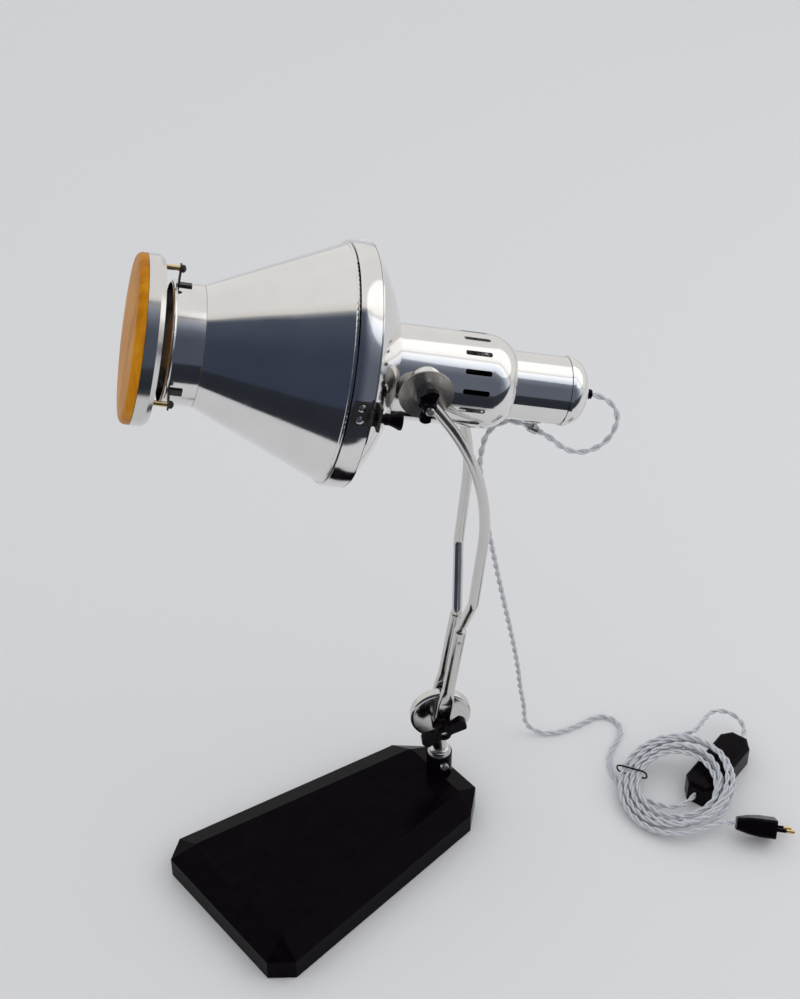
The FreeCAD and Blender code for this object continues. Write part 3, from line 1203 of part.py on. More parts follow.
def twoArcs(start, startWay, finish, finishWay):
    """Two tangent arcs from one point and heading to another."""
    span = finish - start
    both = startWay + finishWay
    square = 2 * (startWay.dot(finishWay) - 1)
    linear = -2 * span.dot(both)
    reach = (-linear - math.sqrt(linear ** 2 - 4 * square * span.dot(span))) / (2 * square)
    if reach < 0:
        reach = (-linear + math.sqrt(linear ** 2 - 4 * square * span.dot(span))) / (2 * square)
    meet = (start + startWay * reach + finish - finishWay * reach) * 0.5
    edges = []
    for near, way, far in ((start, startWay, meet), (finish, finishWay * -1, meet)):
        chord = far - near
        normal = way.cross(chord)
        inward = normal.cross(way).normalize()
        radius = chord.dot(chord) / (2 * chord.dot(inward))
        centre = near + inward * radius
        middle = centre + ((near + far) * 0.5 - centre).normalize() * radius
        edges.append((near, middle, far))
    first = Part.Arc(*edges[0]).toShape()
    second = Part.Arc(edges[1][2], edges[1][1], edges[1][0]).toShape()
    return [first, second]


stations = int(coilSweep / 90)
sweeps = [coilSweep * index / (stations + stations % 2) for index in
          range(stations + stations % 2 + 1)]
coilEdges = []
begin, beginWay = coilSpot(sweeps[0])
end, endWay = coilSpot(sweeps[-1])
lead = num("cord_radius") * 2
coilEdges.append(Part.LineSegment(begin - beginWay * lead, begin).toShape())
for low, high in zip(sweeps, sweeps[1:]):
    start, startWay = coilSpot(low)
    finish, finishWay = coilSpot(high)
    coilEdges += twoArcs(start, startWay, finish, finishWay)
coilEdges.append(Part.LineSegment(end, end + endWay * lead).toShape())
coilWire = Part.Wire(coilEdges)
coil = doc.addObject("Part::Feature", "cord_coil")
coil.Label = "cord_coil"
coil.Shape = alongPath(coilWire, num("cord_radius"))
coil.Placement = coilPlace
nodes.append(coil)
samples = [coilSpot(coilSweep * index / 1500)[0] for index in range(1501)]
apart = int(1500 * 270 / coilSweep)
nearest = min((samples[i] - samples[j]).Length for i in range(0, 1501, 3)
              for j in range(i + apart, 1501, 1))
expected = math.pi * num("cord_radius") ** 2 * coilWire.Length
print("cord_coil: %.1f mm, least gap to itself %.2f mm, volume ratio %.4f, lowest %.2f" % (
    coilWire.Length, nearest - 2 * num("cord_radius"), coil.Shape.Volume / expected,
    coil.Shape.BoundBox.ZMin))
coilStart = coilPlace.multVec(begin - beginWay * lead)
coilStartWay = coilPlace.Rotation.multVec(beginWay)
coilEnd = coilPlace.multVec(end + endWay * lead)
coilEndWay = coilPlace.Rotation.multVec(endWay)
switchWay = switchFrame.Rotation.multVec(acrossAxis)
leadPoints = [switchNose]
leadPoints += [Vector(*point) for point in [
    (156.6, 433.8, 13.4), (145.0, 442.2, 16.0), (130.6, 441.2, 19.5), (120.4, 431.0, 23.5),
    (119.0, 415.9, 28.0), (125.9, 398.1, 32.5), (131.7, 382.2, 34.1)]]
leadPoints += [coilStart - coilStartWay * 11.5, coilStart]
makeCord("cord_lead", leadPoints)
plugWay = plugFrame.Rotation.multVec(acrossAxis)
plugPoints = [coilEnd, coilEnd + coilEndWay * 9.9, plugStart - plugWay * 9.9, plugStart]
makeCord("cord_plug_end", plugPoints)

# Tie round the loops and the cord beneath them
tieFrame = coilPlace * Placement(Vector(), Rotation(upAxis, 205)) * at(50.5, 0, 0)
tieHalfWide = 16.5
tieHalfHigh = 6.9
tieCorner = 5.5
tiePoints = [Vector(tieHalfWide, 0, 0), Vector(tieHalfWide, 0, tieHalfHigh),
             Vector(-tieHalfWide, 0, tieHalfHigh), Vector(-tieHalfWide, 0, -tieHalfHigh),
             Vector(tieHalfWide, 0, -tieHalfHigh), Vector(tieHalfWide, 0, 0)]
tieWire = bentPath(tiePoints, [tieCorner] * 4)
tie = doc.addObject("Part::Feature", "cord_tie")
tie.Label = "cord_tie"
tie.Shape = alongPath(tieWire, 0.9)
tie.Placement = tieFrame
nodes.append(tie)

# Check every object, then write each piece
doc.recompute()
for item in doc.Objects:
    if "Invalid" in item.State or "Error" in item.State:
        raise RuntimeError("%s failed" % item.Label)
    if item.TypeId == "Sketcher::SketchObject" and item.solve() != 0:
        raise RuntimeError("%s is not solved" % item.Label)
os.makedirs("parts", exist_ok=True)
for node in nodes:
    shape = node.Shape
    if shape.isNull() or not shape.isValid() or shape.Volume <= 0:
        raise RuntimeError("%s has no valid solid" % node.Label)
for node in nodes:
    node.Shape.exportStep("parts/%s.step" % node.Label)
print("%d pieces, %d solids" % (len(nodes), sum(len(node.Shape.Solids) for node in nodes)))
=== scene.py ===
import bpy
import bmesh
import math
from mathutils import Matrix, Vector


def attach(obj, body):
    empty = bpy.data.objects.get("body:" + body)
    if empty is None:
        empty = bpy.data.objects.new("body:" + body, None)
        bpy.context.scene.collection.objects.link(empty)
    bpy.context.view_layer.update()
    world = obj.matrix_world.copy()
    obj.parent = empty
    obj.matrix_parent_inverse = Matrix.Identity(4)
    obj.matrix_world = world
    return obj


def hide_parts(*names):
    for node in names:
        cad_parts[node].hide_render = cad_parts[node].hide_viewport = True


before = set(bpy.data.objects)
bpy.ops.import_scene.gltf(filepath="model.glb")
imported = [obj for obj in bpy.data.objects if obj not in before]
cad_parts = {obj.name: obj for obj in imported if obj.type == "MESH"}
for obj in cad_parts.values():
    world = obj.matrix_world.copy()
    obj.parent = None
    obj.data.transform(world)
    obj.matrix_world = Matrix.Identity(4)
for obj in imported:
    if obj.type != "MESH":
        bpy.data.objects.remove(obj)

print("frame loaded:", len(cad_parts), "nodes")
for spare in ("Cube", "Light", "Camera"):
    if spare in bpy.data.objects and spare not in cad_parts:
        bpy.data.objects.remove(bpy.data.objects[spare])
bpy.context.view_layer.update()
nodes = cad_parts
mm = 0.001

# the parts' frames, with the same tilts as in the CAD source, in metres and degrees
stance = {"swivel": -32.2, "stemY": 0.132, "pivotLow": 0.1156, "armLean": 7.6,
          "upperY": -0.0811, "upperZ": 0.4243, "headTilt": -13.0, "pivotS": 0.044,
          "pivotUp": 0.0103}


def shift(x, y, z):
    return Matrix.Translation((x, y, z))


def spin(angle, axis):
    return Matrix.Rotation(math.radians(angle), 4, axis)


stemFrame = shift(0, stance["stemY"], 0) @ spin(stance["swivel"], "Z")
armFrame = stemFrame @ shift(0, 0, stance["pivotLow"]) @ spin(-stance["armLean"], "X")
pivotFrame = armFrame @ shift(0, stance["upperY"], stance["upperZ"]) @ spin(stance["armLean"], "X")
headPivot = pivotFrame @ spin(stance["headTilt"], "X")
headFrame = headPivot @ shift(0, -stance["pivotS"], -stance["pivotUp"])


def aroundHead(angle):
    return headFrame @ spin(90 - angle, "Y")    # +Z outward at that angle, +Y back along the axis


# material helpers
def newFinish(name):
    finish = bpy.data.materials.new(name)
    finish.use_nodes = True
    tree = finish.node_tree
    tree.nodes.clear()
    out = tree.nodes.new("ShaderNodeOutputMaterial")
    shader = tree.nodes.new("ShaderNodeBsdfPrincipled")
    tree.links.new(shader.outputs["BSDF"], out.inputs["Surface"])
    return finish, tree, shader


def node(tree, kind, **settings):
    made = tree.nodes.new("ShaderNode" + kind)
    for key, value in settings.items():
        if hasattr(made, key):
            setattr(made, key, value)
        else:
            made.inputs[key.replace("_", " ")].default_value = value
    return made


def coordinate(tree, scale, output="Object", turn=(0, 0, 0)):
    where = node(tree, "TexCoord")
    mapping = node(tree, "Mapping")
    mapping.inputs["Scale"].default_value = scale
    mapping.inputs["Rotation"].default_value = turn
    tree.links.new(where.outputs[output], mapping.inputs["Vector"])
    return mapping.outputs["Vector"]


def noiseAt(tree, vector, scale, detail=3.0, rough=0.55):
    made = node(tree, "TexNoise", Scale=scale, Detail=detail, Roughness=rough)
    tree.links.new(vector, made.inputs["Vector"])
    return made.outputs["Fac"]


def spread(tree, source, low, high, toLow, toHigh):
    made = node(tree, "MapRange")
    made.inputs["From Min"].default_value = low
    made.inputs["From Max"].default_value = high
    made.inputs["To Min"].default_value = toLow
    made.inputs["To Max"].default_value = toHigh
    tree.links.new(source, made.inputs["Value"])
    return made.outputs["Result"]


def blendColors(tree, source, stops):
    ramp = node(tree, "ValToRGB")
    while len(ramp.color_ramp.elements) < len(stops):
        ramp.color_ramp.elements.new(0.5)
    for element, (place, color) in zip(ramp.color_ramp.elements, stops):
        element.position = place
        element.color = (*color, 1)
    tree.links.new(source, ramp.inputs["Fac"])
    return ramp.outputs["Color"]


def bumpFrom(tree, source, strength, distance, before=None):
    made = node(tree, "Bump")
    made.inputs["Strength"].default_value = strength
    made.inputs["Distance"].default_value = distance
    tree.links.new(source, made.inputs["Height"])
    if before is not None:
        tree.links.new(before, made.inputs["Normal"])
    return made.outputs["Normal"]


finishSizes = {"polishedRough": 0.09, "nickelRough": 0.13, "enamelRough": 0.16,
               "dentDepth": 0.0012, "grainDepth": 0.0002, "peelDepth": 0.0003}


def polishedMetal(name, tint, rough, alongTurn=(0, 0, 0), wave=0.25, grain=(60, 900, 60)):
    finish, tree, shader = newFinish(name)
    shader.inputs["Metallic"].default_value = 1.0
    smear = coordinate(tree, (9, 9, 9), turn=alongTurn)
    cloud = noiseAt(tree, smear, 2.2, 4)
    tree.links.new(blendColors(tree, cloud, [(0.3, [c * 0.93 for c in tint]), (0.7, tint)]),
                   shader.inputs["Base Color"])
    fine = noiseAt(tree, coordinate(tree, grain, turn=alongTurn), 1.0, 5, 0.7)
    patches = noiseAt(tree, coordinate(tree, (22, 22, 22)), 1.6, 5, 0.65)
    together = node(tree, "Math", operation="MULTIPLY")
    tree.links.new(fine, together.inputs[0])
    tree.links.new(patches, together.inputs[1])
    tree.links.new(spread(tree, together.outputs["Value"], 0.1, 0.5, rough * 0.6, rough * 1.9),
                   shader.inputs["Roughness"])
    slow = noiseAt(tree, coordinate(tree, (14, 14, 14)), 1.3, 2, 0.4)
    dents = bumpFrom(tree, slow, wave, finishSizes["dentDepth"])
    tree.links.new(bumpFrom(tree, fine, 0.035, finishSizes["grainDepth"], dents),
                   shader.inputs["Normal"])
    return finish


headTurn = (0, 0, math.radians(-stance["swivel"]))
spunAluminium = polishedMetal("spunAluminium", (0.84, 0.83, 0.82),
                              finishSizes["polishedRough"], headTurn)
nickelTube = polishedMetal("nickelTube", (0.70, 0.685, 0.665),
                           finishSizes["nickelRough"], headTurn, 0.12)
plainSteel = polishedMetal("plainSteel", (0.60, 0.59, 0.58), 0.22, headTurn, 0.1)
brightBrass = polishedMetal("brightBrass", (0.80, 0.60, 0.28), 0.2, headTurn, 0.1)
darkSteel = polishedMetal("darkSteel", (0.42, 0.39, 0.365), 0.3, headTurn, 0.05)
ringAluminium = polishedMetal("ringAluminium", (0.76, 0.75, 0.735), 0.14, headTurn, 0.08)


def blackFinish(name, color, rough, shine, bump):
    finish, tree, shader = newFinish(name)
    dust = noiseAt(tree, coordinate(tree, (35, 35, 35)), 2.0, 6, 0.7)
    dusty = [c * 1.8 + 0.001 for c in color]
    tree.links.new(blendColors(tree, dust, [(0.35, color), (0.75, dusty)]),
                   shader.inputs["Base Color"])
    tree.links.new(spread(tree, dust, 0.3, 0.75, rough * 0.7, rough * 1.7),
                   shader.inputs["Roughness"])
    shader.inputs["Specular IOR Level"].default_value = shine
    peel = noiseAt(tree, coordinate(tree, (1, 1, 1)), 260, 2, 0.5)
    tree.links.new(bumpFrom(tree, peel, bump, finishSizes["peelDepth"]), shader.inputs["Normal"])
    return finish


blackEnamel = blackFinish("blackEnamel", (0.002, 0.001, 0.002), finishSizes["enamelRough"],
                          0.025, 0.02)
blackPhenolic = blackFinish("blackPhenolic", (0.002, 0.001, 0.002), 0.2, 0.06, 0.05)
blackSteel = blackFinish("blackSteel", (0.02, 0.018, 0.017), 0.35, 0.3, 0.12)

feltFinish, tree, shader = newFinish("darkFelt")
fuzz = noiseAt(tree, coordinate(tree, (1, 1, 1)), 900, 5, 0.8)
tree.links.new(blendColors(tree, fuzz, [(0.3, (0.012, 0.012, 0.013)), (0.7, (0.04, 0.04, 0.042))]),
               shader.inputs["Base Color"])
shader.inputs["Roughness"].default_value = 0.95
tree.links.new(bumpFrom(tree, fuzz, 0.6, 0.0006), shader.inputs["Normal"])

# amber glass: ochre drawn into long streaks, with faint reeding
amberGlass, tree, shader = newFinish("amberGlass")
streak = noiseAt(tree, coordinate(tree, (45, 45, 2), turn=headTurn), 1.4, 4, 0.6)
tree.links.new(blendColors(tree, streak, [
    (0.34, (0.42, 0.15, 0.002)), (0.5, (0.52, 0.20, 0.004)), (0.66, (0.62, 0.27, 0.010))]),
    shader.inputs["Base Color"])
shader.inputs["Roughness"].default_value = 0.38
shader.inputs["Specular IOR Level"].default_value = 0.08
shader.inputs["Subsurface Weight"].default_value = 0.15
shader.inputs["Subsurface Radius"].default_value = (0.02, 0.008, 0.002)
shader.inputs["Subsurface Scale"].default_value = 0.3
reed = node(tree, "TexWave", Scale=38.0, Distortion=1.2, Detail=2.0)
tree.links.new(coordinate(tree, (1, 1, 1), turn=headTurn), reed.inputs["Vector"])
tree.links.new(bumpFrom(tree, reed.outputs["Fac"], 0.12, 0.0006), shader.inputs["Normal"])

opalGlass, tree, shader = newFinish("opalGlass")
glow = noiseAt(tree, coordinate(tree, (40, 40, 40)), 1.0, 3)
tree.links.new(blendColors(tree, glow, [(0.3, (0.80, 0.79, 0.75)), (0.7, (0.88, 0.87, 0.84))]),
               shader.inputs["Base Color"])
shader.inputs["Roughness"].default_value = 0.12

# cloth braid of the cord: two crossed yarn directions over the strand's own UV map
clothBraid, tree, shader = newFinish("clothBraid")
across = node(tree, "UVMap", uv_map="UVMap")
lanes = []
for turn in (0.9, -0.9):
    mapping = node(tree, "Mapping")
    mapping.inputs["Rotation"].default_value = (0, 0, turn)
    tree.links.new(across.outputs["UV"], mapping.inputs["Vector"])
    wave = node(tree, "TexWave", Scale=2.6, Distortion=0.4, Detail=1.0)
    tree.links.new(mapping.outputs["Vector"], wave.inputs["Vector"])
    lanes.append(wave.outputs["Fac"])
braid = node(tree, "Math", operation="MAXIMUM")
tree.links.new(lanes[0], braid.inputs[0])
tree.links.new(lanes[1], braid.inputs[1])
yarnTone = noiseAt(tree, coordinate(tree, (1, 1, 1)), 420, 4, 0.7)
tone = node(tree, "Math", operation="MULTIPLY")
tree.links.new(braid.outputs["Value"], tone.inputs[0])
tree.links.new(yarnTone, tone.inputs[1])
tree.links.new(blendColors(tree, tone.outputs["Value"], [
    (0.04, (0.34, 0.36, 0.39)), (0.2, (0.58, 0.60, 0.64)), (0.5, (0.78, 0.80, 0.84))]),
    shader.inputs["Base Color"])
shader.inputs["Roughness"].default_value = 0.72
shader.inputs["Sheen Weight"].default_value = 0.25
tree.links.new(bumpFrom(tree, braid.outputs["Value"], 0.5, 0.0004), shader.inputs["Normal"])

finishOf = {
    blackEnamel: ["base_casting"],
    feltFinish: ["base_felt"],
    blackSteel: ["base_plate", "filter_pin_nuts", "filter_brackets", "cord_clip_screw",
                 "clasp_plate", "clasp_lug"],
    plainSteel: ["base_plate_screws", "stem_set_screw", "stem_washer", "stem_retainer",
                 "sleeve_screws", "lower_bolt", "lower_washers", "pivot_studs", "socket_plate",
                 "hinge_pin", "clasp_rivets", "cord_clip"],
    nickelTube: ["stem_knuckle", "sleeve_near", "sleeve_far", "fork_leg_near", "fork_leg_far"],
    brightBrass: ["lower_knob_insert", "bulb_cap", "filter_pins", "plug_prongs"],
    darkSteel: ["friction_cups"],
    spunAluminium: ["housing_tube", "reflector_dome", "rear_tube", "rear_cap", "front_cone",
                    "front_band", "nose_collar", "pivot_saddles", "front_hinge_leaf",
                    "rear_hinge_leaf"],
    ringAluminium: ["filter_ring"],
    amberGlass: ["amber_filter"],
    opalGlass: ["lamp_bulb"],
    blackPhenolic: ["lamp_socket", "lower_wing_knob", "wing_nut_near", "wing_nut_far",
                    "cord_gland", "clasp_knob", "switch_case_lower", "switch_case_upper",
                    "switch_rocker", "plug_body", "plug_sleeves", "cord_tie"],
}
for finish, names in finishOf.items():
    for name in names:
        nodes[name].data.materials.clear()
        nodes[name].data.materials.append(finish)
print("finishes on", sum(len(names) for names in finishOf.values()), "nodes")


# pieces turned on an axis
def arcBetween(start, finish, radius, side, steps):
    a = Vector(start)
    b = Vector(finish)
    chord = b - a
    left = Vector((-chord.y, chord.x)).normalized()
    rise = math.sqrt(max(radius * radius - chord.length_squared / 4, 0))
    centre = (a + b) / 2 + left * rise * side
    low = math.atan2(a.y - centre.y, a.x - centre.x)
    high = math.atan2(b.y - centre.y, b.x - centre.x)
    while side > 0 and high < low:
        high += 2 * math.pi
    while side < 0 and high > low:
        high -= 2 * math.pi
    return [(centre.x + radius * math.cos(low + (high - low) * i / steps),
             centre.y + radius * math.sin(low + (high - low) * i / steps))
            for i in range(steps + 1)]


# the profile is (radius, place along the axis) in millimetres, from pole to pole
def turnedPiece(name, profile, place, finish, steps=144):
    mesh = bpy.data.meshes.new(name)
    work = bmesh.new()
    rings = []
    for radius, along in profile:
        if radius < 1e-6:
            rings.append([work.verts.new(place @ Vector((0, along * mm, 0)))])
            continue
        rings.append([work.verts.new(place @ (Vector((
            radius * math.cos(2 * math.pi * i / steps), along,
            radius * math.sin(2 * math.pi * i / steps))) * mm)) for i in range(steps)])
    for low, high in zip(rings, rings[1:]):
        for i in range(steps):
            k = (i + 1) % steps
            corners = [low[i % len(low)], low[k % len(low)], high[k % len(high)],
                       high[i % len(high)]]
            face = work.faces.new(list(dict.fromkeys(corners)))
            face.smooth = True
    bmesh.ops.recalc_face_normals(work, faces=work.faces)
    work.to_mesh(mesh)
    work.free()
    mesh.materials.append(finish)
    piece = bpy.data.objects.new(name, mesh)
    bpy.context.scene.collection.objects.link(piece)
    return piece


# the amber glass: a flat face with a tight round, and a slight crown over it
glassSizes = {"spigot": 61.7, "spigotBack": -194.1, "seat": -200.1, "radius": 73.0,
              "roundStart": -203.4, "faceRadius": 68.2, "face": -208.5, "round": 5.2,
              "crownRadius": 728.0, "top": -211.7, "bevel": 0.4}
glassProfile = [(0, glassSizes["spigotBack"]), (glassSizes["spigot"], glassSizes["spigotBack"]),
                (glassSizes["spigot"], glassSizes["seat"]),
                (glassSizes["radius"] - glassSizes["bevel"], glassSizes["seat"]),
                (glassSizes["radius"], glassSizes["seat"] - glassSizes["bevel"])]
glassProfile += arcBetween((glassSizes["radius"], glassSizes["roundStart"]),
                           (glassSizes["faceRadius"], glassSizes["face"]), glassSizes["round"],
                           -1, 10)
glassProfile += arcBetween((glassSizes["faceRadius"], glassSizes["face"]),
                           (0, glassSizes["top"]), glassSizes["crownRadius"], -1, 16)[1:-1]
glassProfile.append((0, glassSizes["top"]))
amberLens = turnedPiece("amberLens", glassProfile, headFrame, amberGlass)
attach(amberLens, "front")
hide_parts("amber_filter")
print("amber lens ready")

# the cord: two cloth-covered cores twisted together
cordSizes = {"strand": 0.00138, "offset": 0.00140, "pitch": 0.026,
             "stepsPerPitch": 16, "sides": 8, "yarnWraps": 6, "yarnLength": 0.0015}


def onHead(points):
    return [headFrame @ (Vector(point) * mm) for point in points]


clipTurn = math.radians(21)
clipRun = 19
clipAxis = Vector((0, -math.cos(clipTurn), math.sin(clipTurn)))
clipMiddle = Vector((4.5, 161.7, -40.9))
tailRoute = onHead([(0, 206, 0), (0.3, 221, -1.2), (2, 235.7, -14.1), (3, 238.8, -31.9),
                    (4, 232.6, -49.7), (4.5, 216.9, -61.6), (4.5, 198.2, -60.7),
                    clipMiddle - clipAxis * clipRun, clipMiddle])
dropRoute = onHead([clipMiddle, clipMiddle + clipAxis * clipRun, (4.8, 129.5, -38.2),
                    (5.0, 120.6, -50.9), (5.0, 120.8, -69.0), (4.8, 123.6, -90.0)])
dropRoute += [Vector(point) * mm for point in [
    (18.3, 164.8, 397.0), (13.1, 175.2, 348.0), (10.2, 188.9, 297.6), (8.0, 202.1, 247.4),
    (5.5, 219.0, 186.0), (3.0, 235.0, 124.0), (-1.5, 245.5, 76.0), (-3.0, 254.5, 44.0),
    (-5.0, 257.0, 19.5), (2.0, 265.0, 5.0), (16.0, 277.5, 3.0), (23.5, 297.5, 3.1),
    (26.5, 318.0, 3.0), (28.5, 337.5, 3.1), (41.8, 347.8, 3.0), (59.0, 344.7, 3.1),
    (68.2, 330.2, 3.0), (74.5, 314.0, 3.1), (84.0, 300.5, 3.0), (97.0, 290.5, 3.1),
    (113.0, 284.3, 3.0), (129.5, 283.3, 3.1), (146.0, 287.5, 3.4), (162.4, 292.7, 5.6),
    (178.6, 298.0, 9.8), (186.8, 312.9, 13.0)]]
switchFrame = shift(0.1715, 0.374, 0) @ spin(104, "Z")
switchSizes = {"half": 0.047, "cordHeight": 0.013}
switchTail = switchFrame @ Vector((-switchSizes["half"], 0, switchSizes["cordHeight"]))
switchNose = switchFrame @ Vector((switchSizes["half"], 0, switchSizes["cordHeight"]))
dropRoute.append(switchTail)

coilSizes = {"outer": 62.0, "pitch": 6.2, "from": 140.0, "sweep": 2720.0, "tilt": 15.5,
             "perTurn": 24, "tiedAt": 205.0, "wander": 5.0, "secondWander": 4.0, "lift": 2.6,
             "join": 0.0056, "leadIn": 0.0115}
coilPlace = shift(0.166, 0.318, 0.0219) @ spin(coilSizes["tilt"], "X")


def coilSpot(sweep):
    middle = coilSizes["sweep"] / 2
    radius = coilSizes["outer"] - coilSizes["pitch"] * (middle - abs(sweep - middle)) / 360
    ramp = min(max((sweep - middle) / 90, -1), 1)
    height = coilSizes["pitch"] / 2 * math.sin(ramp * math.pi / 2)
    angle = math.radians(coilSizes["from"] + sweep)
    turn = math.radians(sweep)
    loose = min(sweep, coilSizes["sweep"] - sweep, 360) / 360    # the two ends keep their places
    tied = 0.5 - 0.5 * math.cos(math.radians(coilSizes["from"] + sweep - coilSizes["tiedAt"]))
    stray = (math.sin(turn * 0.37 + 0.8) * coilSizes["wander"]
             + math.sin(turn * 0.83 + 2.1) * coilSizes["secondWander"])
    radius += stray * loose * tied
    height += (math.sin(turn * 0.61 + 0.4) + 0.6) * coilSizes["lift"] * loose * tied
    return Vector((math.cos(angle) * radius, math.sin(angle) * radius, height)) * mm


coilCount = round(coilSizes["sweep"] / 360 * coilSizes["perTurn"])
coilRoute = [coilPlace @ coilSpot(coilSizes["sweep"] * i / coilCount)
             for i in range(coilCount + 1)]
firstWay = (coilPlace @ coilSpot(0.5) - coilPlace @ coilSpot(0)).normalized()
lastWay = (coilRoute[-1] - coilPlace @ coilSpot(coilSizes["sweep"] - 0.5)).normalized()
coilStart = coilRoute[0] - firstWay * coilSizes["join"]
coilEnd = coilRoute[-1] + lastWay * coilSizes["join"]
leadRoute = [switchNose] + [Vector(point) * mm for point in [
    (156.6, 433.8, 13.4), (145.0, 442.2, 16.0), (130.6, 441.2, 19.5), (120.4, 431.0, 23.5),
    (119.0, 415.9, 28.0), (125.9, 398.1, 32.5), (131.7, 382.2, 34.1)]]
leadRoute += [coilStart - firstWay * coilSizes["leadIn"], coilStart]
plugFrame = shift(0.2403, 0.3275, 0.0195) @ spin(44.6, "Z") @ spin(4.7, "Y") @ spin(-38.5, "X")
plugRun = 0.0099
plugStart = plugFrame.to_translation()
plugWay = plugFrame.to_3x3() @ Vector((1, 0, 0))
reelRoute = leadRoute + coilRoute + [coilEnd, coilEnd + lastWay * plugRun,
                                     plugStart - plugWay * plugRun, plugStart]


def routeLine(name, route):
    curve = bpy.data.curves.new(name, "CURVE")
    curve.dimensions = "3D"
    spline = curve.splines.new("NURBS")
    spline.points.add(len(route) - 1)
    for point, spot in zip(spline.points, route):
        point.co = (*spot, 1)
    spline.order_u = 3
    spline.use_endpoint_u = True
    spline.resolution_u = 6
    holder = bpy.data.objects.new(name, curve)
    bpy.context.scene.collection.objects.link(holder)
    bpy.context.view_layer.update()
    traced = bpy.data.meshes.new_from_object(holder.evaluated_get(
        bpy.context.evaluated_depsgraph_get()))
    line = [vertex.co.copy() for vertex in traced.vertices]
    bpy.data.objects.remove(holder)
    if (line[0] - route[0]).length > (line[-1] - route[0]).length:
        line.reverse()
    return line


def evenly(line, step):
    spots = [line[0]]
    carried = 0.0
    for a, b in zip(line, line[1:]):
        span = (b - a).length
        while span > 1e-9 and carried + span >= step:
            part = (step - carried) / span
            a = a.lerp(b, part)
            spots.append(a.copy())
            span = (b - a).length
            carried = 0.0
        carried += span
    if (line[-1] - spots[-1]).length > step * 0.3:
        spots.append(line[-1].copy())
    else:
        spots[-1] = line[-1].copy()
    return spots


def strandedCord(name, route, body, replaced):
    line = evenly(routeLine(name + "Line", route),
                  cordSizes["pitch"] / cordSizes["stepsPerPitch"])
    length = sum((b - a).length for a, b in zip(line, line[1:]))
    mesh = bpy.data.meshes.new(name)
    work = bmesh.new()
    uvLayer = work.loops.layers.uv.new("UVMap")
    sides = cordSizes["sides"]
    normal = None
    frames = []
    for i, spot in enumerate(line):
        way = (line[min(i + 1, len(line) - 1)] - line[max(i - 1, 0)]).normalized()
        if normal is None:
            normal = way.orthogonal().normalized()
        normal = (normal - way * normal.dot(way)).normalized()
        frames.append((spot, normal.copy(), way.cross(normal)))
    for phase in (0, math.pi):
        rings = []
        run = 0.0
        travelled = []
        for i, (spot, n, b) in enumerate(frames):
            if i:
                run += (spot - frames[i - 1][0]).length
            travelled.append(run)
            turn = phase + 2 * math.pi * run / cordSizes["pitch"]
            core = spot + (n * math.cos(turn) + b * math.sin(turn)) * cordSizes["offset"]
            rings.append([work.verts.new(core + (n * math.cos(turn + side) + b * math.sin(
                turn + side)) * cordSizes["strand"])
                for side in [2 * math.pi * j / sides for j in range(sides)]])
        for i in range(len(rings) - 1):
            for j in range(sides):
                k = (j + 1) % sides
                face = work.faces.new((rings[i][j], rings[i][k], rings[i + 1][k], rings[i + 1][j]))
                face.smooth = True
                for loop, (u, v) in zip(face.loops, [(j, i), (j + 1, i), (j + 1, i + 1),
                                                     (j, i + 1)]):
                    loop[uvLayer].uv = (u / sides * cordSizes["yarnWraps"],
                                        travelled[v] / cordSizes["yarnLength"])
        for ring, flip in ((rings[0], True), (rings[-1], False)):
            work.faces.new(ring[::-1] if flip else ring)
    bmesh.ops.recalc_face_normals(work, faces=work.faces)
    work.to_mesh(mesh)
    work.free()
    mesh.materials.append(clothBraid)
    piece = bpy.data.objects.new(name, mesh)
    bpy.context.scene.collection.objects.link(piece)
    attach(piece, body)
    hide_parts(*replaced)
    print(name, "%.3f m" % length, len(mesh.polygons), "faces")
    return piece, line, length


tailCord, tailLine, tailLength = strandedCord("tailCord", tailRoute, "head", ["cord_tail"])
dropCord, dropLine, dropLength = strandedCord("dropCord", dropRoute, "base", ["cord_drop"])
reelCord, reelLine, reelLength = strandedCord("reelCord", reelRoute, "base",
                                              ["cord_lead", "cord_coil", "cord_plug_end"])

# stage, camera and light
stageSizes = {"floorHalf": 6.0, "floorTone": 0.76, "paintedReflectionEdge": 0.56, "paintedReflectionBlend": 0.05,
              "lampSpot": (0.9, 1.5, 2.0), "lampAim": (0, 0.1, 0.2)}
viewAcross = Vector((0.7749, -0.6320, 0))    # from the lamp towards the camera

floorMesh = bpy.data.meshes.new("studioFloor")
half = stageSizes["floorHalf"]
floorMesh.from_pydata([(-half, -half, 0), (half, -half, 0), (half, half, 0), (-half, half, 0)],
                      [], [(0, 1, 2, 3)])
floor = bpy.data.objects.new("studioFloor", floorMesh)
bpy.context.scene.collection.objects.link(floor)
floorFinish, tree, shader = newFinish("paleFloor")
shader.inputs["Roughness"].default_value = 0.6
shader.inputs["Specular IOR Level"].default_value = 0.2
# painted reflection: for glossy rays only, the floor on the camera's side of the edge line is
# painted near-black, so the metal shows a painted dark reflection of the room; camera rays see the
# even pale floor
place = node(tree, "NewGeometry")
dotted = node(tree, "VectorMath", operation="DOT_PRODUCT")
dotted.inputs[1].default_value = viewAcross
tree.links.new(place.outputs["Position"], dotted.inputs[0])
paintedReflectionZone = spread(tree, dotted.outputs["Value"], stageSizes["paintedReflectionEdge"],
                stageSizes["paintedReflectionEdge"] + stageSizes["paintedReflectionBlend"], 0, 1)
ray = node(tree, "LightPath")
paintedReflectionMask = node(tree, "Math", operation="MULTIPLY")
tree.links.new(paintedReflectionZone, paintedReflectionMask.inputs[0])
tree.links.new(ray.outputs["Is Glossy Ray"], paintedReflectionMask.inputs[1])
tone = stageSizes["floorTone"]
tree.links.new(blendColors(tree, paintedReflectionMask.outputs["Value"], [
    (0.0, (tone, tone, tone * 1.01)), (1.0, (0.02, 0.025, 0.035))]), shader.inputs["Base Color"])
floorMesh.materials.append(floorFinish)

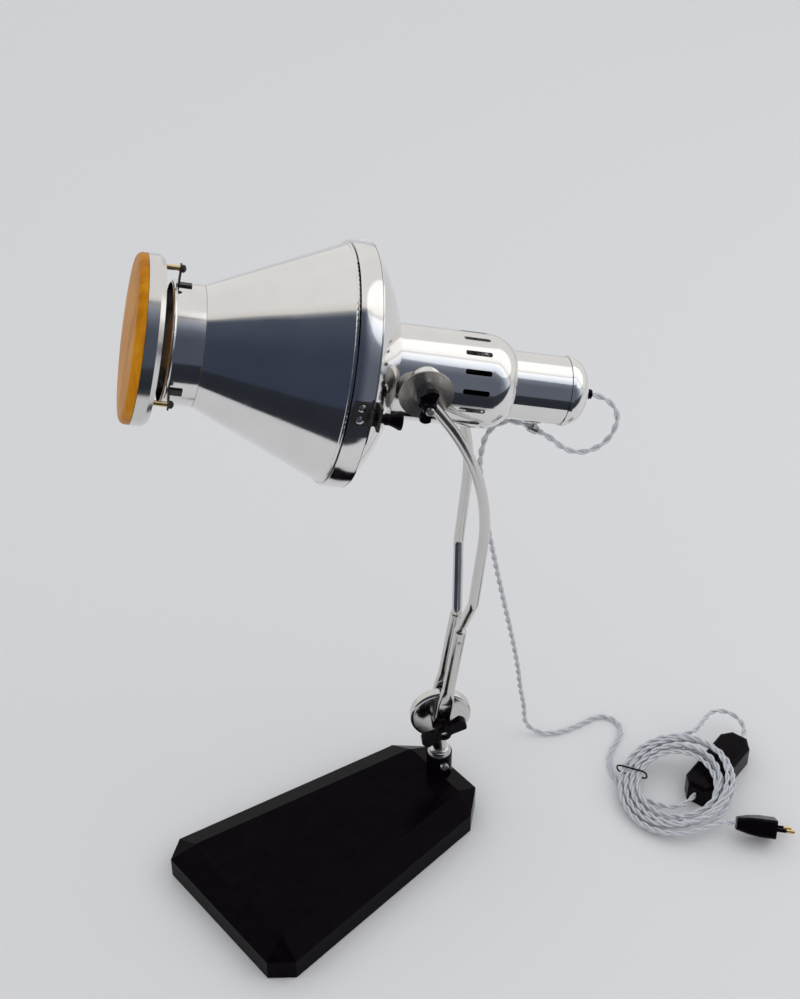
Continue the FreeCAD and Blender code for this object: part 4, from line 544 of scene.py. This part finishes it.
world = bpy.data.worlds.new("studio")
bpy.context.scene.world = world
world.use_nodes = True
tree = world.node_tree
tree.nodes.clear()
out = tree.nodes.new("ShaderNodeOutputWorld")
plain = node(tree, "Background")
plain.inputs["Color"].default_value = (0.93, 0.94, 0.96, 1)
plain.inputs["Strength"].default_value = 0.85
room = node(tree, "Background")
direction = node(tree, "TexCoord")
facing = node(tree, "VectorMath", operation="DOT_PRODUCT")
facing.inputs[1].default_value = viewAcross
tree.links.new(direction.outputs["Generated"], facing.inputs[0])
lumps = noiseAt(tree, direction.outputs["Generated"], 2.4, 3, 0.5)
ragged = node(tree, "Math", operation="MULTIPLY_ADD")
tree.links.new(lumps, ragged.inputs[0])
ragged.inputs[1].default_value = 0.22
tree.links.new(facing.outputs["Value"], ragged.inputs[2])
backward = node(tree, "VectorMath", operation="DOT_PRODUCT")
backward.inputs[1].default_value = headFrame.to_3x3() @ Vector((0, 1, 0))
tree.links.new(direction.outputs["Generated"], backward.inputs[0])
# input 6 is the room ahead of the lamp, input 7 the paler room behind it
darkSide = node(tree, "Mix", data_type="RGBA")
tree.links.new(blendColors(tree, ragged.outputs["Value"], [
    (0.0, (0.82, 0.81, 0.795)), (0.13, (0.74, 0.715, 0.68)), (0.17, (0.27, 0.28, 0.30)),
    (0.24, (0.07, 0.085, 0.12)), (0.8, (0.035, 0.045, 0.075))]), darkSide.inputs[6])
tree.links.new(blendColors(tree, ragged.outputs["Value"], [
    (0.0, (0.80, 0.79, 0.77)), (0.15, (0.66, 0.64, 0.61)), (0.19, (0.24, 0.24, 0.25)),
    (0.24, (0.82, 0.83, 0.85)), (0.42, (0.50, 0.56, 0.66)), (0.58, (0.20, 0.225, 0.27)),
    (0.8, (0.11, 0.125, 0.16))]), darkSide.inputs[7])
tree.links.new(spread(tree, backward.outputs["Value"], 0.02, 0.24, 0, 1),
               darkSide.inputs["Factor"])
tree.links.new(darkSide.outputs[2], room.inputs["Color"])
mixer = node(tree, "MixShader")
ray = node(tree, "LightPath")
tree.links.new(ray.outputs["Is Glossy Ray"], mixer.inputs["Fac"])
tree.links.new(plain.outputs["Background"], mixer.inputs[1])
tree.links.new(room.outputs["Background"], mixer.inputs[2])
tree.links.new(mixer.outputs["Shader"], out.inputs["Surface"])

lamp = bpy.data.lights.new("softKey", "AREA")
lamp.energy = 9
lamp.shape = "DISK"
lamp.size = 2.8
lampHolder = bpy.data.objects.new("softKey", lamp)
bpy.context.scene.collection.objects.link(lampHolder)
lampHolder.location = stageSizes["lampSpot"]
lampHolder.rotation_euler = (Vector(stageSizes["lampSpot"]) - Vector(
    stageSizes["lampAim"])).to_track_quat("Z", "Y").to_euler()

cameraSizes = {"focalPixels": 1850, "framePixels": 999, "sensor": 36, "pitch": 38.5,
               "spot": (1.0119, -0.7459, 1.4579)}
camera = bpy.data.cameras.new("photoCamera")
camera.lens = cameraSizes["focalPixels"] * cameraSizes["sensor"] / cameraSizes["framePixels"]
camera.sensor_width = cameraSizes["sensor"]
camera.sensor_fit = "AUTO"
cameraHolder = bpy.data.objects.new("photoCamera", camera)
bpy.context.scene.collection.objects.link(cameraHolder)
cameraHolder.location = cameraSizes["spot"]
pitch = math.radians(cameraSizes["pitch"])
lookAlong = Vector((-0.7749 * math.cos(pitch), 0.6320 * math.cos(pitch), -math.sin(pitch)))
cameraHolder.rotation_euler = lookAlong.to_track_quat("-Z", "Y").to_euler()
bpy.context.scene.camera = cameraHolder
bpy.context.scene.view_settings.view_transform = "Standard"

print("scene complete")
